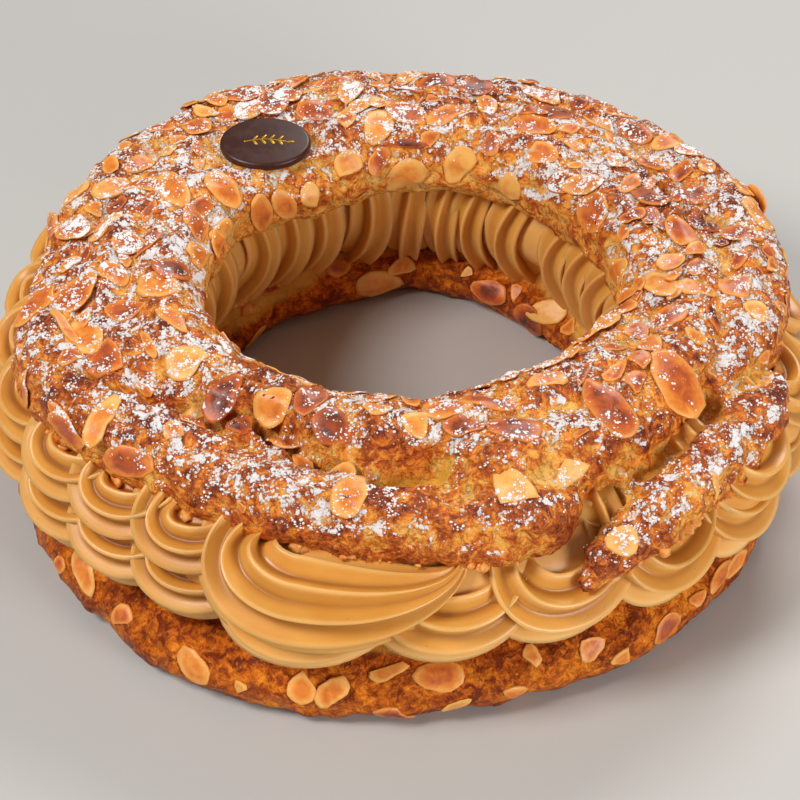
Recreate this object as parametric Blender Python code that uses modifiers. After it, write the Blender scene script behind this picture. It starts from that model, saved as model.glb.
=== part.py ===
"""Paris-Brest: a split ring of baked choux pastry, filled with piped praline cream.

Frame: metres, +Z up. The origin is on the table at the middle of the ring, and -Y is the front.
Places are given by an angle round the ring, in degrees from 0 at the front and growing towards
+X, with a distance from the middle and a height above the table.

Four solids, from the table up: choux_base (the lower crust), praline_cream (the piped filling),
choux_lid (the baked top, made of dough strands) and chocolate_plaque (the small disc on the lid).
"""

import math

import bmesh
import bpy
from mathutils import Matrix, Vector, noise

MM = 0.001

# Lower crust: a flattened ring that rests on the table.
BASE_RADIUS = 88.5 * MM
BASE_HALF_WIDTH = 29.5 * MM
BASE_HALF_HEIGHT = 13.5 * MM
BASE_MIDDLE = 8.5 * MM
BASE_TOP = 20.5 * MM
BASE_LUMP_WIDTH = 15 * MM
BASE_LUMP_HEIGHT = 2.4 * MM
BASE_STEPS = (60, 12)
# The upper face waves by this much inside the first radius, and is level from the second.
BASE_RIM_WAVE = 4.5 * MM
BASE_RIM = (61 * MM, 72 * MM)
# The crust spreads further out here: (angle, extra reach, width of the bulge in degrees).
BASE_BULGES = ((-24, 4.0 * MM, 20), (84, -2.0 * MM, 30))
# Its inner side stands back from the hole here.
BASE_HOLLOWS = ((172, 5.0 * MM, 16), (-100, 2.0 * MM, 25))

# Cream: a plain core with ropes of cream laid against its outer and inner sides.
CREAM_RADIUS = 87 * MM
CREAM_HALF_WIDTH = 22 * MM
CREAM_HALF_HEIGHT = 17 * MM
CREAM_MIDDLE = 35 * MM
CREAM_STEPS = (72, 16)
# The cream swells out of the ring here: (angle, extra reach, width of the swelling in degrees).
CREAM_BULGES = ((-78, 3.0 * MM, 24), (76, 3.0 * MM, 22), (180, 1.5 * MM, 30))
# A swag's left arm stands this much further out than its right arm, which the next swag covers.
SWAG_LAP = 8 * MM
SWAG_STEPS = 14
# The arms of a swag are this much of its full thickness, and its bend is rounder below 1.
SWAG_ARM_THICKNESS = 0.7
SWAG_ROUNDNESS = 0.8
# The back and the left side carry two rows of swags, one above the other.
DOUBLE_ROWS_FROM = -31
DOUBLE_ROW_SWAGS = 21
DOUBLE_ROW_PITCH = 12.5
DOUBLE_ROW_HALF_WIDTH = 7.5
DOUBLE_ROW_RADIUS = 9.5 * MM
DOUBLE_ROW_REACH = 109.5 * MM
DOUBLE_ROW_UNEVENNESS = 3 * MM
# Each row: (shift in degrees, height of the bend, height of the arms, step back, radius of the arms).
DOUBLE_ROWS = (
    (0, 29.5 * MM, 40 * MM, 0, 99 * MM),
    (-1, 41 * MM, 48 * MM, 2 * MM, 95 * MM),
)
# The front carries one row of bigger swags, each with a second, smaller bend nested in its own:
# (angle, half width, lowest height, rope radius).
FRONT_SWAGS = (
    (-12, 12.0, 35 * MM, 9.5 * MM),
    (5, 8.5, 32 * MM, 8.5 * MM),
    (20.5, 8.5, 32 * MM, 8.5 * MM),
    (37, 8.5, 31 * MM, 8.5 * MM),
    (53, 8.5, 30 * MM, 8.5 * MM),
    (68, 8.0, 31 * MM, 8.5 * MM),
)
# The outer bend and the nested one: (height of the arms, reach of the bend, radius of the arms).
FRONT_BEND = (46 * MM, 110 * MM, 96 * MM)
NESTED_BEND = (50 * MM, 107 * MM, 94 * MM)
# The nested bend against the outer one: share of the width, lift, share of the thickness.
NESTED_SHARE = (0.55, 11 * MM, 0.85)
INNER_ROPES = 29
INNER_ROPE_RADIUS = 8.5 * MM
# An inner rope leans over by this many degrees from foot to top, give or take the second number.
INNER_ROPE_LEAN = (5, 4)
# Its course: (share of the lean, radius, height).
INNER_ROPE_COURSE = (
    (0, 69 * MM, 20 * MM),
    (0.4, 65.5 * MM, 29 * MM),
    (0.8, 65.5 * MM, 42 * MM),
    (1, 69 * MM, 52 * MM),
)

# Lid: strands of dough baked together, each a closed or open run round the ring.
LID_MIDDLE = 58.5 * MM
LID_SEAM = 49.5 * MM
LID_LUMP_WIDTH = 13 * MM
LID_LUMP_HEIGHT = 1.3 * MM
STRAND_RADIUS = 14 * MM
STRAND_STEP = 4
INNER_STRAND_AT = 70 * MM
OUTER_STRAND_AT = 92 * MM
CREST_AT = 81 * MM
# The inner strand leans into the hole or away from it: (angle, shift, width in degrees).
INNER_STRAND_BENDS = ((-155, -7 * MM, 17), (85, 5 * MM, 28), (30, -1.5 * MM, 20))
OUTER_STRAND_BENDS = ((-68, 9 * MM, 17), (16, 6.5 * MM, 10), (105, 8.5 * MM, 38), (-125, 3 * MM, 30))
# The outer strand runs from the right side round the back and ends, broken off, at the front.
OUTER_STRAND_SPAN = (60, 387)
# The crest fills the groove between the two strands, and leaves a crack open at the front left.
CREST_SPAN = (7, 311)
# Its thickness at the ends and what it gains between them, and where it leans outwards.
CREST_THICKNESS = (4 * MM, 9 * MM)
CREST_BENDS = ((43, 4 * MM, 25),)
# A flap of dough hangs over the cream at the front right: (angle, radius, height, thickness).
FLAP = (
    (22.5, 106 * MM, 35 * MM, 4.0 * MM),
    (27, 107 * MM, 39 * MM, 8.0 * MM),
    (35, 108 * MM, 43 * MM, 11.0 * MM),
    (46, 109 * MM, 45 * MM, 12.0 * MM),
    (57, 109 * MM, 48 * MM, 11.5 * MM),
    (66, 108 * MM, 51 * MM, 10.0 * MM),
    (72, 106 * MM, 54 * MM, 7.0 * MM),
)
# Under the flap the lid's cut face dips by this much, between these angles.
FLAP_SEAM_DROP = 14 * MM
FLAP_SEAM_SPAN = (17, 26, 64, 78)
# A smooth web of dough joins the flap to the lid: its span, radius, height and thickness.
WEB_SPAN = (35, 68)
WEB = (100 * MM, 48.5 * MM, 8 * MM)
FLAP_EDGE = 118.5 * MM
# Beside the lid the cream may stand this much higher than under it.
CREAM_BESIDE_LID = 8 * MM

# Plaque: an oval chocolate disc with round edges, sunk a little into the crust.
PLAQUE_AT = (-142, 67 * MM)
PLAQUE_HALF_LENGTH = 13.8 * MM
PLAQUE_HALF_DEPTH = 10 * MM
PLAQUE_THICKNESS = 3 * MM
PLAQUE_UNDERSIDE = 69.5 * MM
PLAQUE_EDGE = 1.1 * MM

# Making: gaps between the solids, the fusing grid, and the facets that each solid keeps.
GAP = 0.5 * MM
FUSE_GRID = 2.4 * MM
CREAM_FACETS = 5500
LID_FACETS = 2650
# Facets whose planes differ by less than this, in degrees, are joined.
FLAT_ENOUGH = 4
CUTTER_REACH = (36 * MM, 150 * MM)
SEAM_TOP = 100 * MM
SEAM_BOTTOM = -50 * MM
BASE_SEAM_STEPS = 36
LID_SEAM_STEPS = 48

CRUST_COLOUR = (0.56, 0.20, 0.055, 1)
BASE_COLOUR = (0.42, 0.14, 0.035, 1)
CREAM_COLOUR = (0.62, 0.36, 0.12, 1)
CHOCOLATE_COLOUR = (0.055, 0.018, 0.012, 1)


def ring_point(angle, radius, height):
    """The point at an angle round the ring, a distance from its middle and a height."""
    turn = math.radians(angle)
    return Vector((radius * math.sin(turn), -radius * math.cos(turn), height))


def ring_place(point):
    """The angle and the distance from the middle at which a point lies."""
    return math.degrees(math.atan2(point.x, -point.y)), math.hypot(point.x, point.y)


def rise(low, high, value):
    """0 up to low, 1 from high, and a smooth climb between them."""
    share = min(max((value - low) / (high - low), 0), 1)
    return share * share * (3 - 2 * share)


def bends(table, angle):
    """The sum of the bulges in a table of (angle, height, width) at an angle round the ring."""
    total = 0
    for centre, height, width in table:
        apart = (angle - centre + 180) % 360 - 180
        total += height * math.exp(-((apart / width) ** 2))
    return total


def waver(angle, seed, size):
    """An uneven shift, up to about size, that closes on itself round the ring."""
    return size * noise.noise(ring_point(angle, 1.6, 7.0 * seed))


def clear_scene():
    """Removes what the scene holds."""
    for item in list(bpy.data.objects):
        bpy.data.objects.remove(item, do_unlink=True)


def new_collection(name):
    collection = bpy.data.collections.new(name)
    bpy.context.scene.collection.children.link(collection)
    return collection


def material(name, colour, roughness):
    finish = bpy.data.materials.new(name)
    finish.use_nodes = True
    shader = finish.node_tree.nodes["Principled BSDF"]
    shader.inputs["Base Color"].default_value = colour
    shader.inputs["Roughness"].default_value = roughness
    shader.inputs["Metallic"].default_value = 0
    finish.diffuse_color = colour
    return finish


def new_object(name, mesh, collection):
    item = bpy.data.objects.new(name, mesh)
    collection.objects.link(item)
    return item


def applied(item):
    """Applies an object's modifiers, or makes a curve a mesh with welded caps."""
    bpy.context.view_layer.update()
    evaluated = item.evaluated_get(bpy.context.evaluated_depsgraph_get())
    mesh = bpy.data.meshes.new_from_object(evaluated)
    shape = bmesh.new()
    shape.from_mesh(mesh)
    bmesh.ops.remove_doubles(shape, verts=shape.verts, dist=0.001 * MM)
    shape.to_mesh(mesh)
    shape.free()
    name = item.name
    collection = item.users_collection[0]
    bpy.data.objects.remove(item, do_unlink=True)
    return new_object(name, mesh, collection)


def rope(points, radii, workshop, closed=False):
    """A round rope along points, whose thickness follows radii."""
    curve = bpy.data.curves.new("rope", "CURVE")
    curve.dimensions = "3D"
    curve.bevel_depth = 1
    curve.bevel_resolution = 2
    curve.use_fill_caps = not closed
    spline = curve.splines.new("POLY")
    spline.points.add(len(points) - 1)
    spline.use_cyclic_u = closed
    for knot, point, radius in zip(spline.points, points, radii):
        knot.co = (*point, 1)
        knot.radius = radius
    return applied(new_object("rope", curve, workshop))


def ring_core(radius, half_width, half_height, middle, steps, workshop):
    """A torus stretched to an oval section, with its steps round the ring and across it."""
    bpy.ops.mesh.primitive_torus_add(
        major_segments=steps[0], minor_segments=steps[1], major_radius=radius, minor_radius=half_width
    )
    item = bpy.context.object
    for vertex in item.data.vertices:
        vertex.co.z = middle + vertex.co.z * half_height / half_width
    for collection in item.users_collection:
        collection.objects.unlink(item)
    workshop.objects.link(item)
    return item


def fused(name, parts, workshop):
    """Melts overlapping parts into one skin on a fine grid."""
    shape = bmesh.new()
    for part in parts:
        shape.from_mesh(part.data)
        bpy.data.objects.remove(part, do_unlink=True)
    mesh = bpy.data.meshes.new(name)
    shape.to_mesh(mesh)
    shape.free()
    item = new_object(name, mesh, workshop)
    melt = item.modifiers.new("melt", "REMESH")
    melt.mode = "VOXEL"
    melt.voxel_size = FUSE_GRID
    return applied(item)


def roughen(item, height, grain):
    """Pushes the skin in and out by a crusty noise of this height and grain size."""
    mesh = item.data
    shifts = [normal.vector.copy() for normal in mesh.vertex_normals]
    for vertex, outward in zip(mesh.vertices, shifts):
        depth = noise.fractal(vertex.co / grain, 0.9, 2.0, 3, noise_basis="PERLIN_ORIGINAL")
        vertex.co += outward * depth * height


def thinned(item, facets):
    """Keeps about this many facets, the most where the shape turns."""
    item.data.calc_loop_triangles()
    thin = item.modifiers.new("thin", "DECIMATE")
    thin.ratio = facets / len(item.data.loop_triangles)
    return applied(item)


def seam_block(name, profile, steps, far_height, workshop):
    """A ring-shaped block between a flat far face and an uneven seam.

    profile gives the seam's radii and heights at an angle, from the hole outwards.
    """
    stations = len(profile(0))
    shape = bmesh.new()
    row = [shape.verts.new(ring_point(0, 1 + index, 0)) for index in range(stations)]
    edges = [shape.edges.new(pair) for pair in zip(row, row[1:])]
    bmesh.ops.spin(
        shape, geom=row + edges, cent=(0, 0, 0), axis=(0, 0, 1), angle=math.tau, steps=steps, use_merge=True
    )
    bmesh.ops.remove_doubles(shape, verts=shape.verts, dist=0.01)
    seam = list(shape.verts)
    grown = bmesh.ops.extrude_face_region(shape, geom=list(shape.faces), use_keep_orig=True)
    far = [part for part in grown["geom"] if isinstance(part, bmesh.types.BMVert)]
    for vertex in seam + far:
        angle, station = ring_place(vertex.co)
        vertex.co = ring_point(angle, *profile(angle)[round(station) - 1])
    for vertex in far:
        vertex.co.z = far_height
    # One fixed way of splitting the faces, so that two blocks on one seam stay a gap apart.
    bmesh.ops.triangulate(shape, faces=shape.faces, quad_method="FIXED", ngon_method="EAR_CLIP")
    bmesh.ops.recalc_face_normals(shape, faces=shape.faces)
    mesh = bpy.data.meshes.new(name)
    shape.to_mesh(mesh)
    shape.free()
    return cutter(new_object(name, mesh, workshop))


def cutter(item):
    item.hide_render = True
    item.display_type = "WIRE"
    return item


def cut(item, tools):
    """Takes each tool's space out of a solid, and drops loose crumbs that this leaves."""
    for tool in tools:
        trim = item.modifiers.new(tool.name, "BOOLEAN")
        trim.operation = "DIFFERENCE"
        trim.object = tool
    return flattened(largest_shell(applied(item)))


def flattened(item):
    """Joins facets that lie almost in one plane, and splits the result into triangles."""
    shape = bmesh.new()
    shape.from_mesh(item.data)
    limit = math.radians(FLAT_ENOUGH)
    bmesh.ops.dissolve_limit(shape, angle_limit=limit, verts=shape.verts, edges=shape.edges)
    bmesh.ops.triangulate(shape, faces=shape.faces, quad_method="BEAUTY", ngon_method="BEAUTY")
    shape.to_mesh(item.data)
    shape.free()
    return item


def largest_shell(item):
    """Keeps the widest connected skin, without inner pockets and crumbs."""
    shape = bmesh.new()
    shape.from_mesh(item.data)
    waiting = set(shape.verts)
    shells = []
    while waiting:
        shell = {waiting.pop()}
        edge = list(shell)
        while edge:
            vertex = edge.pop()
            for link in vertex.link_edges:
                other = link.other_vert(vertex)
                if other not in shell:
                    shell.add(other)
                    edge.append(other)
        waiting -= shell
        shells.append(shell)
    kept = max(shells, key=len)
    bmesh.ops.delete(shape, geom=[vertex for vertex in shape.verts if vertex not in kept], context="VERTS")
    shape.to_mesh(item.data)
    shape.free()
    return item


def base_seam(angle):
    """The cut between the lower crust and the cream; its inner rim is wavy."""
    rim = BASE_TOP + BASE_RIM_WAVE * math.sin(math.radians(3 * angle - 45))
    inner, outer = CUTTER_REACH
    wavy, level = BASE_RIM
    return [(inner, rim), (wavy, rim), (level, BASE_TOP), (outer, BASE_TOP)]


def lid_seam(angle):
    """The cut between the cream and the lid.

    It runs level under the lid and climbs just outside it. Under the flap it dips first.
    """
    inner, outer = CUTTER_REACH
    beside = LID_SEAM + CREAM_BESIDE_LID
    edge = outer_strand_place(angle)[0] + 0.85 * STRAND_RADIUS
    dip = LID_SEAM - FLAP_SEAM_DROP
    plain = [
        (inner, LID_SEAM), (80 * MM, LID_SEAM), (87 * MM, LID_SEAM), (93 * MM, LID_SEAM),
        (edge, LID_SEAM), (edge + 3 * MM, beside), (outer, beside),
    ]
    under_flap = [
        (inner, LID_SEAM), (94 * MM, LID_SEAM), (101 * MM, LID_SEAM - 0.6 * FLAP_SEAM_DROP), (108 * MM, dip),
        (FLAP_EDGE, dip), (FLAP_EDGE + 4 * MM, LID_SEAM), (outer, LID_SEAM),
    ]
    share = rise(*FLAP_SEAM_SPAN[:2], angle) * (1 - rise(*FLAP_SEAM_SPAN[2:], angle))
    return [
        (r1 + (r2 - r1) * share, z1 + (z2 - z1) * share) for (r1, z1), (r2, z2) in zip(plain, under_flap)
    ]


def shifted(seam, lift):
    """The same seam, lifted."""
    return lambda angle: [(radius, height + lift) for radius, height in seam(angle)]


def swag(centre, half_width, low, high, reach, tuck, thickness, workshop):
    """A rope of cream that hangs in a U against the side, its arms tucked in at the top.

    The left arm stands proud, because it is laid over the swag before it.
    """
    points = []
    radii = []
    for step in range(SWAG_STEPS + 1):
        share = step / SWAG_STEPS
        hang = math.sin(math.pi * share) ** SWAG_ROUNDNESS
        angle = centre - half_width * math.cos(math.pi * share)
        lap = (0.5 - share) * SWAG_LAP
        radius = tuck + (reach - tuck) * hang + bends(CREAM_BULGES, angle) + lap
        points.append(ring_point(angle, radius, high + (low - high) * hang))
        radii.append(thickness * (SWAG_ARM_THICKNESS + (1 - SWAG_ARM_THICKNESS) * hang))
    return rope(points, radii, workshop)


def outer_swags(workshop):
    parts = []
    for count in range(DOUBLE_ROW_SWAGS):
        centre = DOUBLE_ROWS_FROM - DOUBLE_ROW_PITCH * count
        reach = DOUBLE_ROW_REACH + waver(centre, 1, DOUBLE_ROW_UNEVENNESS)
        for shift, low, high, back, tuck in DOUBLE_ROWS:
            width, thick = DOUBLE_ROW_HALF_WIDTH, DOUBLE_ROW_RADIUS
            parts.append(swag(centre + shift, width, low, high, reach - back, tuck, thick, workshop))
    narrowed, lifted, thinner = NESTED_SHARE
    for centre, half_width, low, thick in FRONT_SWAGS:
        high, reach, tuck = FRONT_BEND
        parts.append(swag(centre, half_width, low, high, reach, tuck, thick, workshop))
        high, reach, tuck = NESTED_BEND
        width = half_width * narrowed
        parts.append(swag(centre, width, low + lifted, high, reach, tuck, thick * thinner, workshop))
    return parts


def inner_ropes(workshop):
    """Slanting upright ropes round the hole."""
    parts = []
    usual, unevenness = INNER_ROPE_LEAN
    for count in range(INNER_ROPES):
        angle = count * 360 / INNER_ROPES
        lean = usual + waver(angle, 2, unevenness)
        points = [
            ring_point(angle + lean * share, radius, height) for share, radius, height in INNER_ROPE_COURSE
        ]
        parts.append(rope(points, [INNER_ROPE_RADIUS] * len(points), workshop))
    return parts


def strand(span, place, workshop):
    """A strand of dough between two angles; place gives radius, height and thickness at an angle."""
    first, last = span
    closed = last - first == 360
    count = round((last - first) / STRAND_STEP)
    points = []
    radii = []
    for index in range(count if closed else count + 1):
        angle = first + (last - first) * index / count
        radius, height, thickness = place(angle)
        points.append(ring_point(angle, radius, height))
        radii.append(thickness)
    return rope(points, radii, workshop, closed)


def inner_strand_place(angle):
    radius = INNER_STRAND_AT + bends(INNER_STRAND_BENDS, angle) + waver(angle, 3, 2.5 * MM)
    return radius, LID_MIDDLE + waver(angle, 4, 2 * MM), STRAND_RADIUS + waver(angle, 5, 1.5 * MM)


def outer_strand_place(angle):
    first, last = OUTER_STRAND_SPAN
    taper = 0.5 + 0.5 * rise(first, first + 16, angle) * (1 - rise(last - 5, last + 1, angle))
    radius = OUTER_STRAND_AT + bends(OUTER_STRAND_BENDS, angle) + waver(angle, 6, 2 * MM)
    thickness = (STRAND_RADIUS - 1 * MM + waver(angle, 7, 2 * MM)) * taper
    return radius, LID_MIDDLE - 1.5 * MM + waver(angle, 8, 2 * MM), thickness


def crest_place(angle):
    first, last = CREST_SPAN
    taper = rise(first - 8, first + 8, angle) * (1 - rise(last - 14, last + 2, angle))
    thin, gain = CREST_THICKNESS
    radius = CREST_AT + bends(CREST_BENDS, angle) + waver(angle, 10, 3 * MM)
    return radius, LID_MIDDLE + 1 * MM + waver(angle, 9, 3 * MM), thin + gain * taper


def web_place(angle):
    return WEB


def flap(workshop):
    points = [ring_point(angle, radius, height) for angle, radius, height, thickness in FLAP]
    return rope(points, [thickness for angle, radius, height, thickness in FLAP], workshop)


def build_base(parts, workshop):
    """The lower crust: an oval ring cut off flat on the table, with lumpy sides."""
    core = ring_core(BASE_RADIUS, BASE_HALF_WIDTH, BASE_HALF_HEIGHT, BASE_MIDDLE, BASE_STEPS, workshop)
    for vertex in core.data.vertices:
        angle, radius = ring_place(vertex.co)
        outer = rise(BASE_RADIUS, BASE_RADIUS + BASE_HALF_WIDTH, radius)
        inner = 1 - rise(BASE_RADIUS - BASE_HALF_WIDTH, BASE_RADIUS, radius)
        lump = noise.noise(vertex.co / BASE_LUMP_WIDTH) * BASE_LUMP_HEIGHT
        radius += outer * bends(BASE_BULGES, angle) + inner * bends(BASE_HOLLOWS, angle) + lump
        vertex.co = ring_point(angle, radius, max(vertex.co.z + lump, 0))
    above = seam_block("above_base", shifted(base_seam, -GAP / 2), BASE_SEAM_STEPS, SEAM_TOP, workshop)
    core.name = "choux_base"
    base = cut(core, [above])
    base.data.materials.append(material("base_crust", BASE_COLOUR, 0.75))
    parts.objects.link(base)
    workshop.objects.unlink(base)
    return base


def build_cream(parts, workshop):
    """The filling: a core and its ropes, melted together and cut to fit between the crusts."""
    core = ring_core(CREAM_RADIUS, CREAM_HALF_WIDTH, CREAM_HALF_HEIGHT, CREAM_MIDDLE, CREAM_STEPS, workshop)
    cream = fused("praline_cream", [core, *outer_swags(workshop), *inner_ropes(workshop)], workshop)
    cream = thinned(cream, CREAM_FACETS)
    below = seam_block("below_cream", shifted(base_seam, GAP / 2), BASE_SEAM_STEPS, SEAM_BOTTOM, workshop)
    above = seam_block("above_cream", shifted(lid_seam, -GAP / 2), LID_SEAM_STEPS, SEAM_TOP, workshop)
    cream = cut(cream, [below, above])
    cream.data.materials.append(material("praline_cream", CREAM_COLOUR, 0.4))
    parts.objects.link(cream)
    workshop.objects.unlink(cream)
    return cream


def build_lid(parts, workshop):
    """The lid: its strands baked together, cut off below where the cream begins."""
    strands = [
        strand((0, 360), inner_strand_place, workshop),
        strand(OUTER_STRAND_SPAN, outer_strand_place, workshop),
        strand(CREST_SPAN, crest_place, workshop),
        strand(WEB_SPAN, web_place, workshop),
        flap(workshop),
    ]
    lid = fused("choux_lid", strands, workshop)
    roughen(lid, LID_LUMP_HEIGHT, LID_LUMP_WIDTH)
    lid = thinned(lid, LID_FACETS)
    below = seam_block("below_lid", shifted(lid_seam, GAP / 2), LID_SEAM_STEPS, SEAM_BOTTOM, workshop)
    lid = cut(lid, [below, plaque_seat(workshop)])
    lid.data.materials.append(material("lid_crust", CRUST_COLOUR, 0.7))
    parts.objects.link(lid)
    workshop.objects.unlink(lid)
    return lid


def oval_disc(name, margin, underside, thickness, collection):
    """An oval disc at the plaque's place, wider than the plaque by margin."""
    shape = bmesh.new()
    bmesh.ops.create_cone(shape, cap_ends=True, segments=24, radius1=1, radius2=1, depth=thickness)
    bmesh.ops.scale(
        shape, vec=(PLAQUE_HALF_LENGTH + margin, PLAQUE_HALF_DEPTH + margin, 1), verts=shape.verts
    )
    centre = ring_point(*PLAQUE_AT, underside + thickness / 2)
    bmesh.ops.transform(shape, matrix=Matrix.Translation(centre), verts=shape.verts)
    mesh = bpy.data.meshes.new(name)
    shape.to_mesh(mesh)
    shape.free()
    return new_object(name, mesh, collection)


def plaque_seat(workshop):
    """The hollow that the plaque leaves in the crust."""
    return cutter(oval_disc("plaque_seat", GAP, PLAQUE_UNDERSIDE - GAP, 30 * MM, workshop))


def build_plaque(parts):
    plaque = oval_disc("chocolate_plaque", 0, PLAQUE_UNDERSIDE, PLAQUE_THICKNESS, parts)
    rounded = plaque.modifiers.new("rounded edge", "BEVEL")
    rounded.width = PLAQUE_EDGE
    rounded.segments = 2
    plaque.data.materials.append(material("chocolate", CHOCOLATE_COLOUR, 0.3))
    return plaque


def main():
    clear_scene()
    parts = new_collection("paris_brest")
    workshop = new_collection("cutters")
    build_base(parts, workshop)
    build_cream(parts, workshop)
    build_lid(parts, workshop)
    build_plaque(parts)


main()
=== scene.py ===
"""Looks of a Paris-Brest: browned choux strands, piped praline cream, flaked almonds and icing sugar.

Every length is in metres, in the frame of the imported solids: +Z up, -Y the front, and the origin
on the table at the middle of the ring. Places round the ring are an angle in degrees from the
front, growing towards +X, with a distance from the middle and a height.
"""

from __future__ import annotations

import logging
import math
import random
from dataclasses import dataclass, field
from enum import Enum
from typing import Callable, Iterable, Sequence

import bmesh
import bpy
import numpy as np
from mathutils import Matrix, Vector, noise
from mathutils.bvhtree import BVHTree

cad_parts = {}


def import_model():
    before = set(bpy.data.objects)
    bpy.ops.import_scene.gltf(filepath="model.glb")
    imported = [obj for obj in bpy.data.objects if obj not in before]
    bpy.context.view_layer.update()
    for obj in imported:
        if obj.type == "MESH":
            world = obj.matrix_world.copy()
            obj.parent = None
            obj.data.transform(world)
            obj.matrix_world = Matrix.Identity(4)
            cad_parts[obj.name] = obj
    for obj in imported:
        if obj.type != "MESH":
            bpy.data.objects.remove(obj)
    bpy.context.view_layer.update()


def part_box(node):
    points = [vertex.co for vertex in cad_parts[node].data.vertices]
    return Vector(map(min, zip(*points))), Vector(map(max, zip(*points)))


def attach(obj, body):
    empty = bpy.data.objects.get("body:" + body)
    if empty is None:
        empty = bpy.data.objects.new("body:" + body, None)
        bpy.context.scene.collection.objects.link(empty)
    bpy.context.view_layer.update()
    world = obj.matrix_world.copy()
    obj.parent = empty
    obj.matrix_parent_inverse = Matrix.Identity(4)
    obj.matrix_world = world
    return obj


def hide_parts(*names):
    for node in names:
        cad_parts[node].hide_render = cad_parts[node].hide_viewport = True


LOG = logging.getLogger("paris_brest")

MM = 0.001
Colour = tuple[float, float, float, float]
Bend = tuple[float, float, float]
Place = tuple[float, float, float]


# ---------------------------------------------------------------------------------------------
# Places round the ring
# ---------------------------------------------------------------------------------------------


def ring_point(angle: float, radius: float, height: float) -> Vector:
    """The point at an angle round the ring, a distance from its middle and a height."""
    turn = math.radians(angle)
    return Vector((radius * math.sin(turn), -radius * math.cos(turn), height))


def ring_place(point: Vector) -> tuple[float, float]:
    """The angle and the distance from the middle at which a point lies."""
    return math.degrees(math.atan2(point.x, -point.y)), math.hypot(point.x, point.y)


def turn_between(angle: float, other: float) -> float:
    """How far angle lies from other round the ring, from -180 to 180 degrees."""
    return (angle - other + 180) % 360 - 180


def rise(low: float, high: float, value: float) -> float:
    """0 up to low, 1 from high, and a smooth climb between them."""
    share = min(max((value - low) / (high - low), 0.0), 1.0)
    return share * share * (3 - 2 * share)


def blend(start: float, end: float, share: float) -> float:
    """The value a share of the way from start to end."""
    return start + (end - start) * share


def bends(table: Sequence[Bend], angle: float) -> float:
    """The sum of the bulges in a table of (angle, height, width) at an angle."""
    return sum(height * math.exp(-((turn_between(angle, at) / width) ** 2)) for at, height, width in table)


def waver(angle: float, seed: float, size: float, pace: float = 1.6) -> float:
    """An uneven shift, up to about size, that closes on itself round the ring.

    Args:
        angle: Where round the ring.
        seed: Which of many such unevennesses.
        size: The largest shift.
        pace: How quickly it changes along the ring.

    Returns:
        The shift, in the units of size.
    """
    return size * noise.noise(ring_point(angle, pace, 7.0 * seed))


# ---------------------------------------------------------------------------------------------
# Meshes
# ---------------------------------------------------------------------------------------------


def new_object(name: str, mesh: bpy.types.Mesh) -> bpy.types.Object:
    """Puts a mesh into the scene under a name."""
    mesh.name = name
    item = bpy.data.objects.new(name, mesh)
    bpy.context.scene.collection.objects.link(item)
    return item


def closed_mesh(shape: bmesh.types.BMesh, smooth: bool = True) -> bpy.types.Mesh:
    """Turns a bmesh into a mesh with its faces outwards, and frees it.

    Args:
        shape: The bmesh, which is used up.
        smooth: Whether the faces are shaded smooth.

    Returns:
        The new mesh.
    """
    bmesh.ops.recalc_face_normals(shape, faces=shape.faces)
    for face in shape.faces:
        face.smooth = smooth
    mesh = bpy.data.meshes.new("piece")
    shape.to_mesh(mesh)
    shape.free()
    return mesh


def applied(item: bpy.types.Object) -> bpy.types.Object:
    """Applies an object's modifiers, and keeps the object."""
    bpy.context.view_layer.update()
    evaluated = item.evaluated_get(bpy.context.evaluated_depsgraph_get())
    mesh = bpy.data.meshes.new_from_object(evaluated)
    item.modifiers.clear()
    item.data = mesh
    mesh.shade_smooth()
    return item


def points_of(mesh: bpy.types.Mesh) -> np.ndarray:
    """A mesh's points, one row each."""
    flat = np.empty(len(mesh.vertices) * 3)
    mesh.vertices.foreach_get("co", flat)
    return flat.reshape(-1, 3)


def normals_of(mesh: bpy.types.Mesh) -> np.ndarray:
    """A mesh's outward directions, one row for each point."""
    flat = np.empty(len(mesh.vertices) * 3)
    mesh.vertex_normals.foreach_get("vector", flat)
    return flat.reshape(-1, 3)


def set_points(mesh: bpy.types.Mesh, points: np.ndarray) -> None:
    """Moves a mesh's points."""
    mesh.vertices.foreach_set("co", points.ravel())
    mesh.update()


def set_tone(mesh: bpy.types.Mesh, name: str, values: np.ndarray) -> None:
    """Stores one number for each point, which the piece's material reads by name."""
    layer = mesh.attributes.new(name, "FLOAT", "POINT")
    layer.data.foreach_set("value", np.asarray(values, dtype=np.float32))


def evened(mesh: bpy.types.Mesh, values: np.ndarray, passes: int) -> np.ndarray:
    """Averages values with their neighbours' over and over.

    Args:
        mesh: The mesh whose edges say who is whose neighbour.
        values: A row, or one number, for each point.
        passes: How many rounds of averaging.

    Returns:
        The evened values.
    """
    ends = np.empty(len(mesh.edges) * 2, dtype=np.int64)
    mesh.edges.foreach_get("vertices", ends)
    first, second = ends.reshape(-1, 2).T
    count = len(mesh.vertices)
    links = np.bincount(first, minlength=count) + np.bincount(second, minlength=count)
    columns = values.reshape(count, -1).astype(float)
    for _ in range(passes):
        fresh = np.empty_like(columns)
        for column in range(columns.shape[1]):
            line = columns[:, column]
            total = np.bincount(first, line[second], count) + np.bincount(second, line[first], count)
            fresh[:, column] = total / np.maximum(links, 1)
        columns = 0.5 * columns + 0.5 * fresh
    return columns.reshape(values.shape)


def bulge_of(mesh: bpy.types.Mesh, passes: int) -> np.ndarray:
    """How far each point stands above its surroundings; hollows come out negative."""
    points = points_of(mesh)
    apart = points - evened(mesh, points, passes)
    return np.einsum("ij,ij->i", apart, normals_of(mesh))


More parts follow.
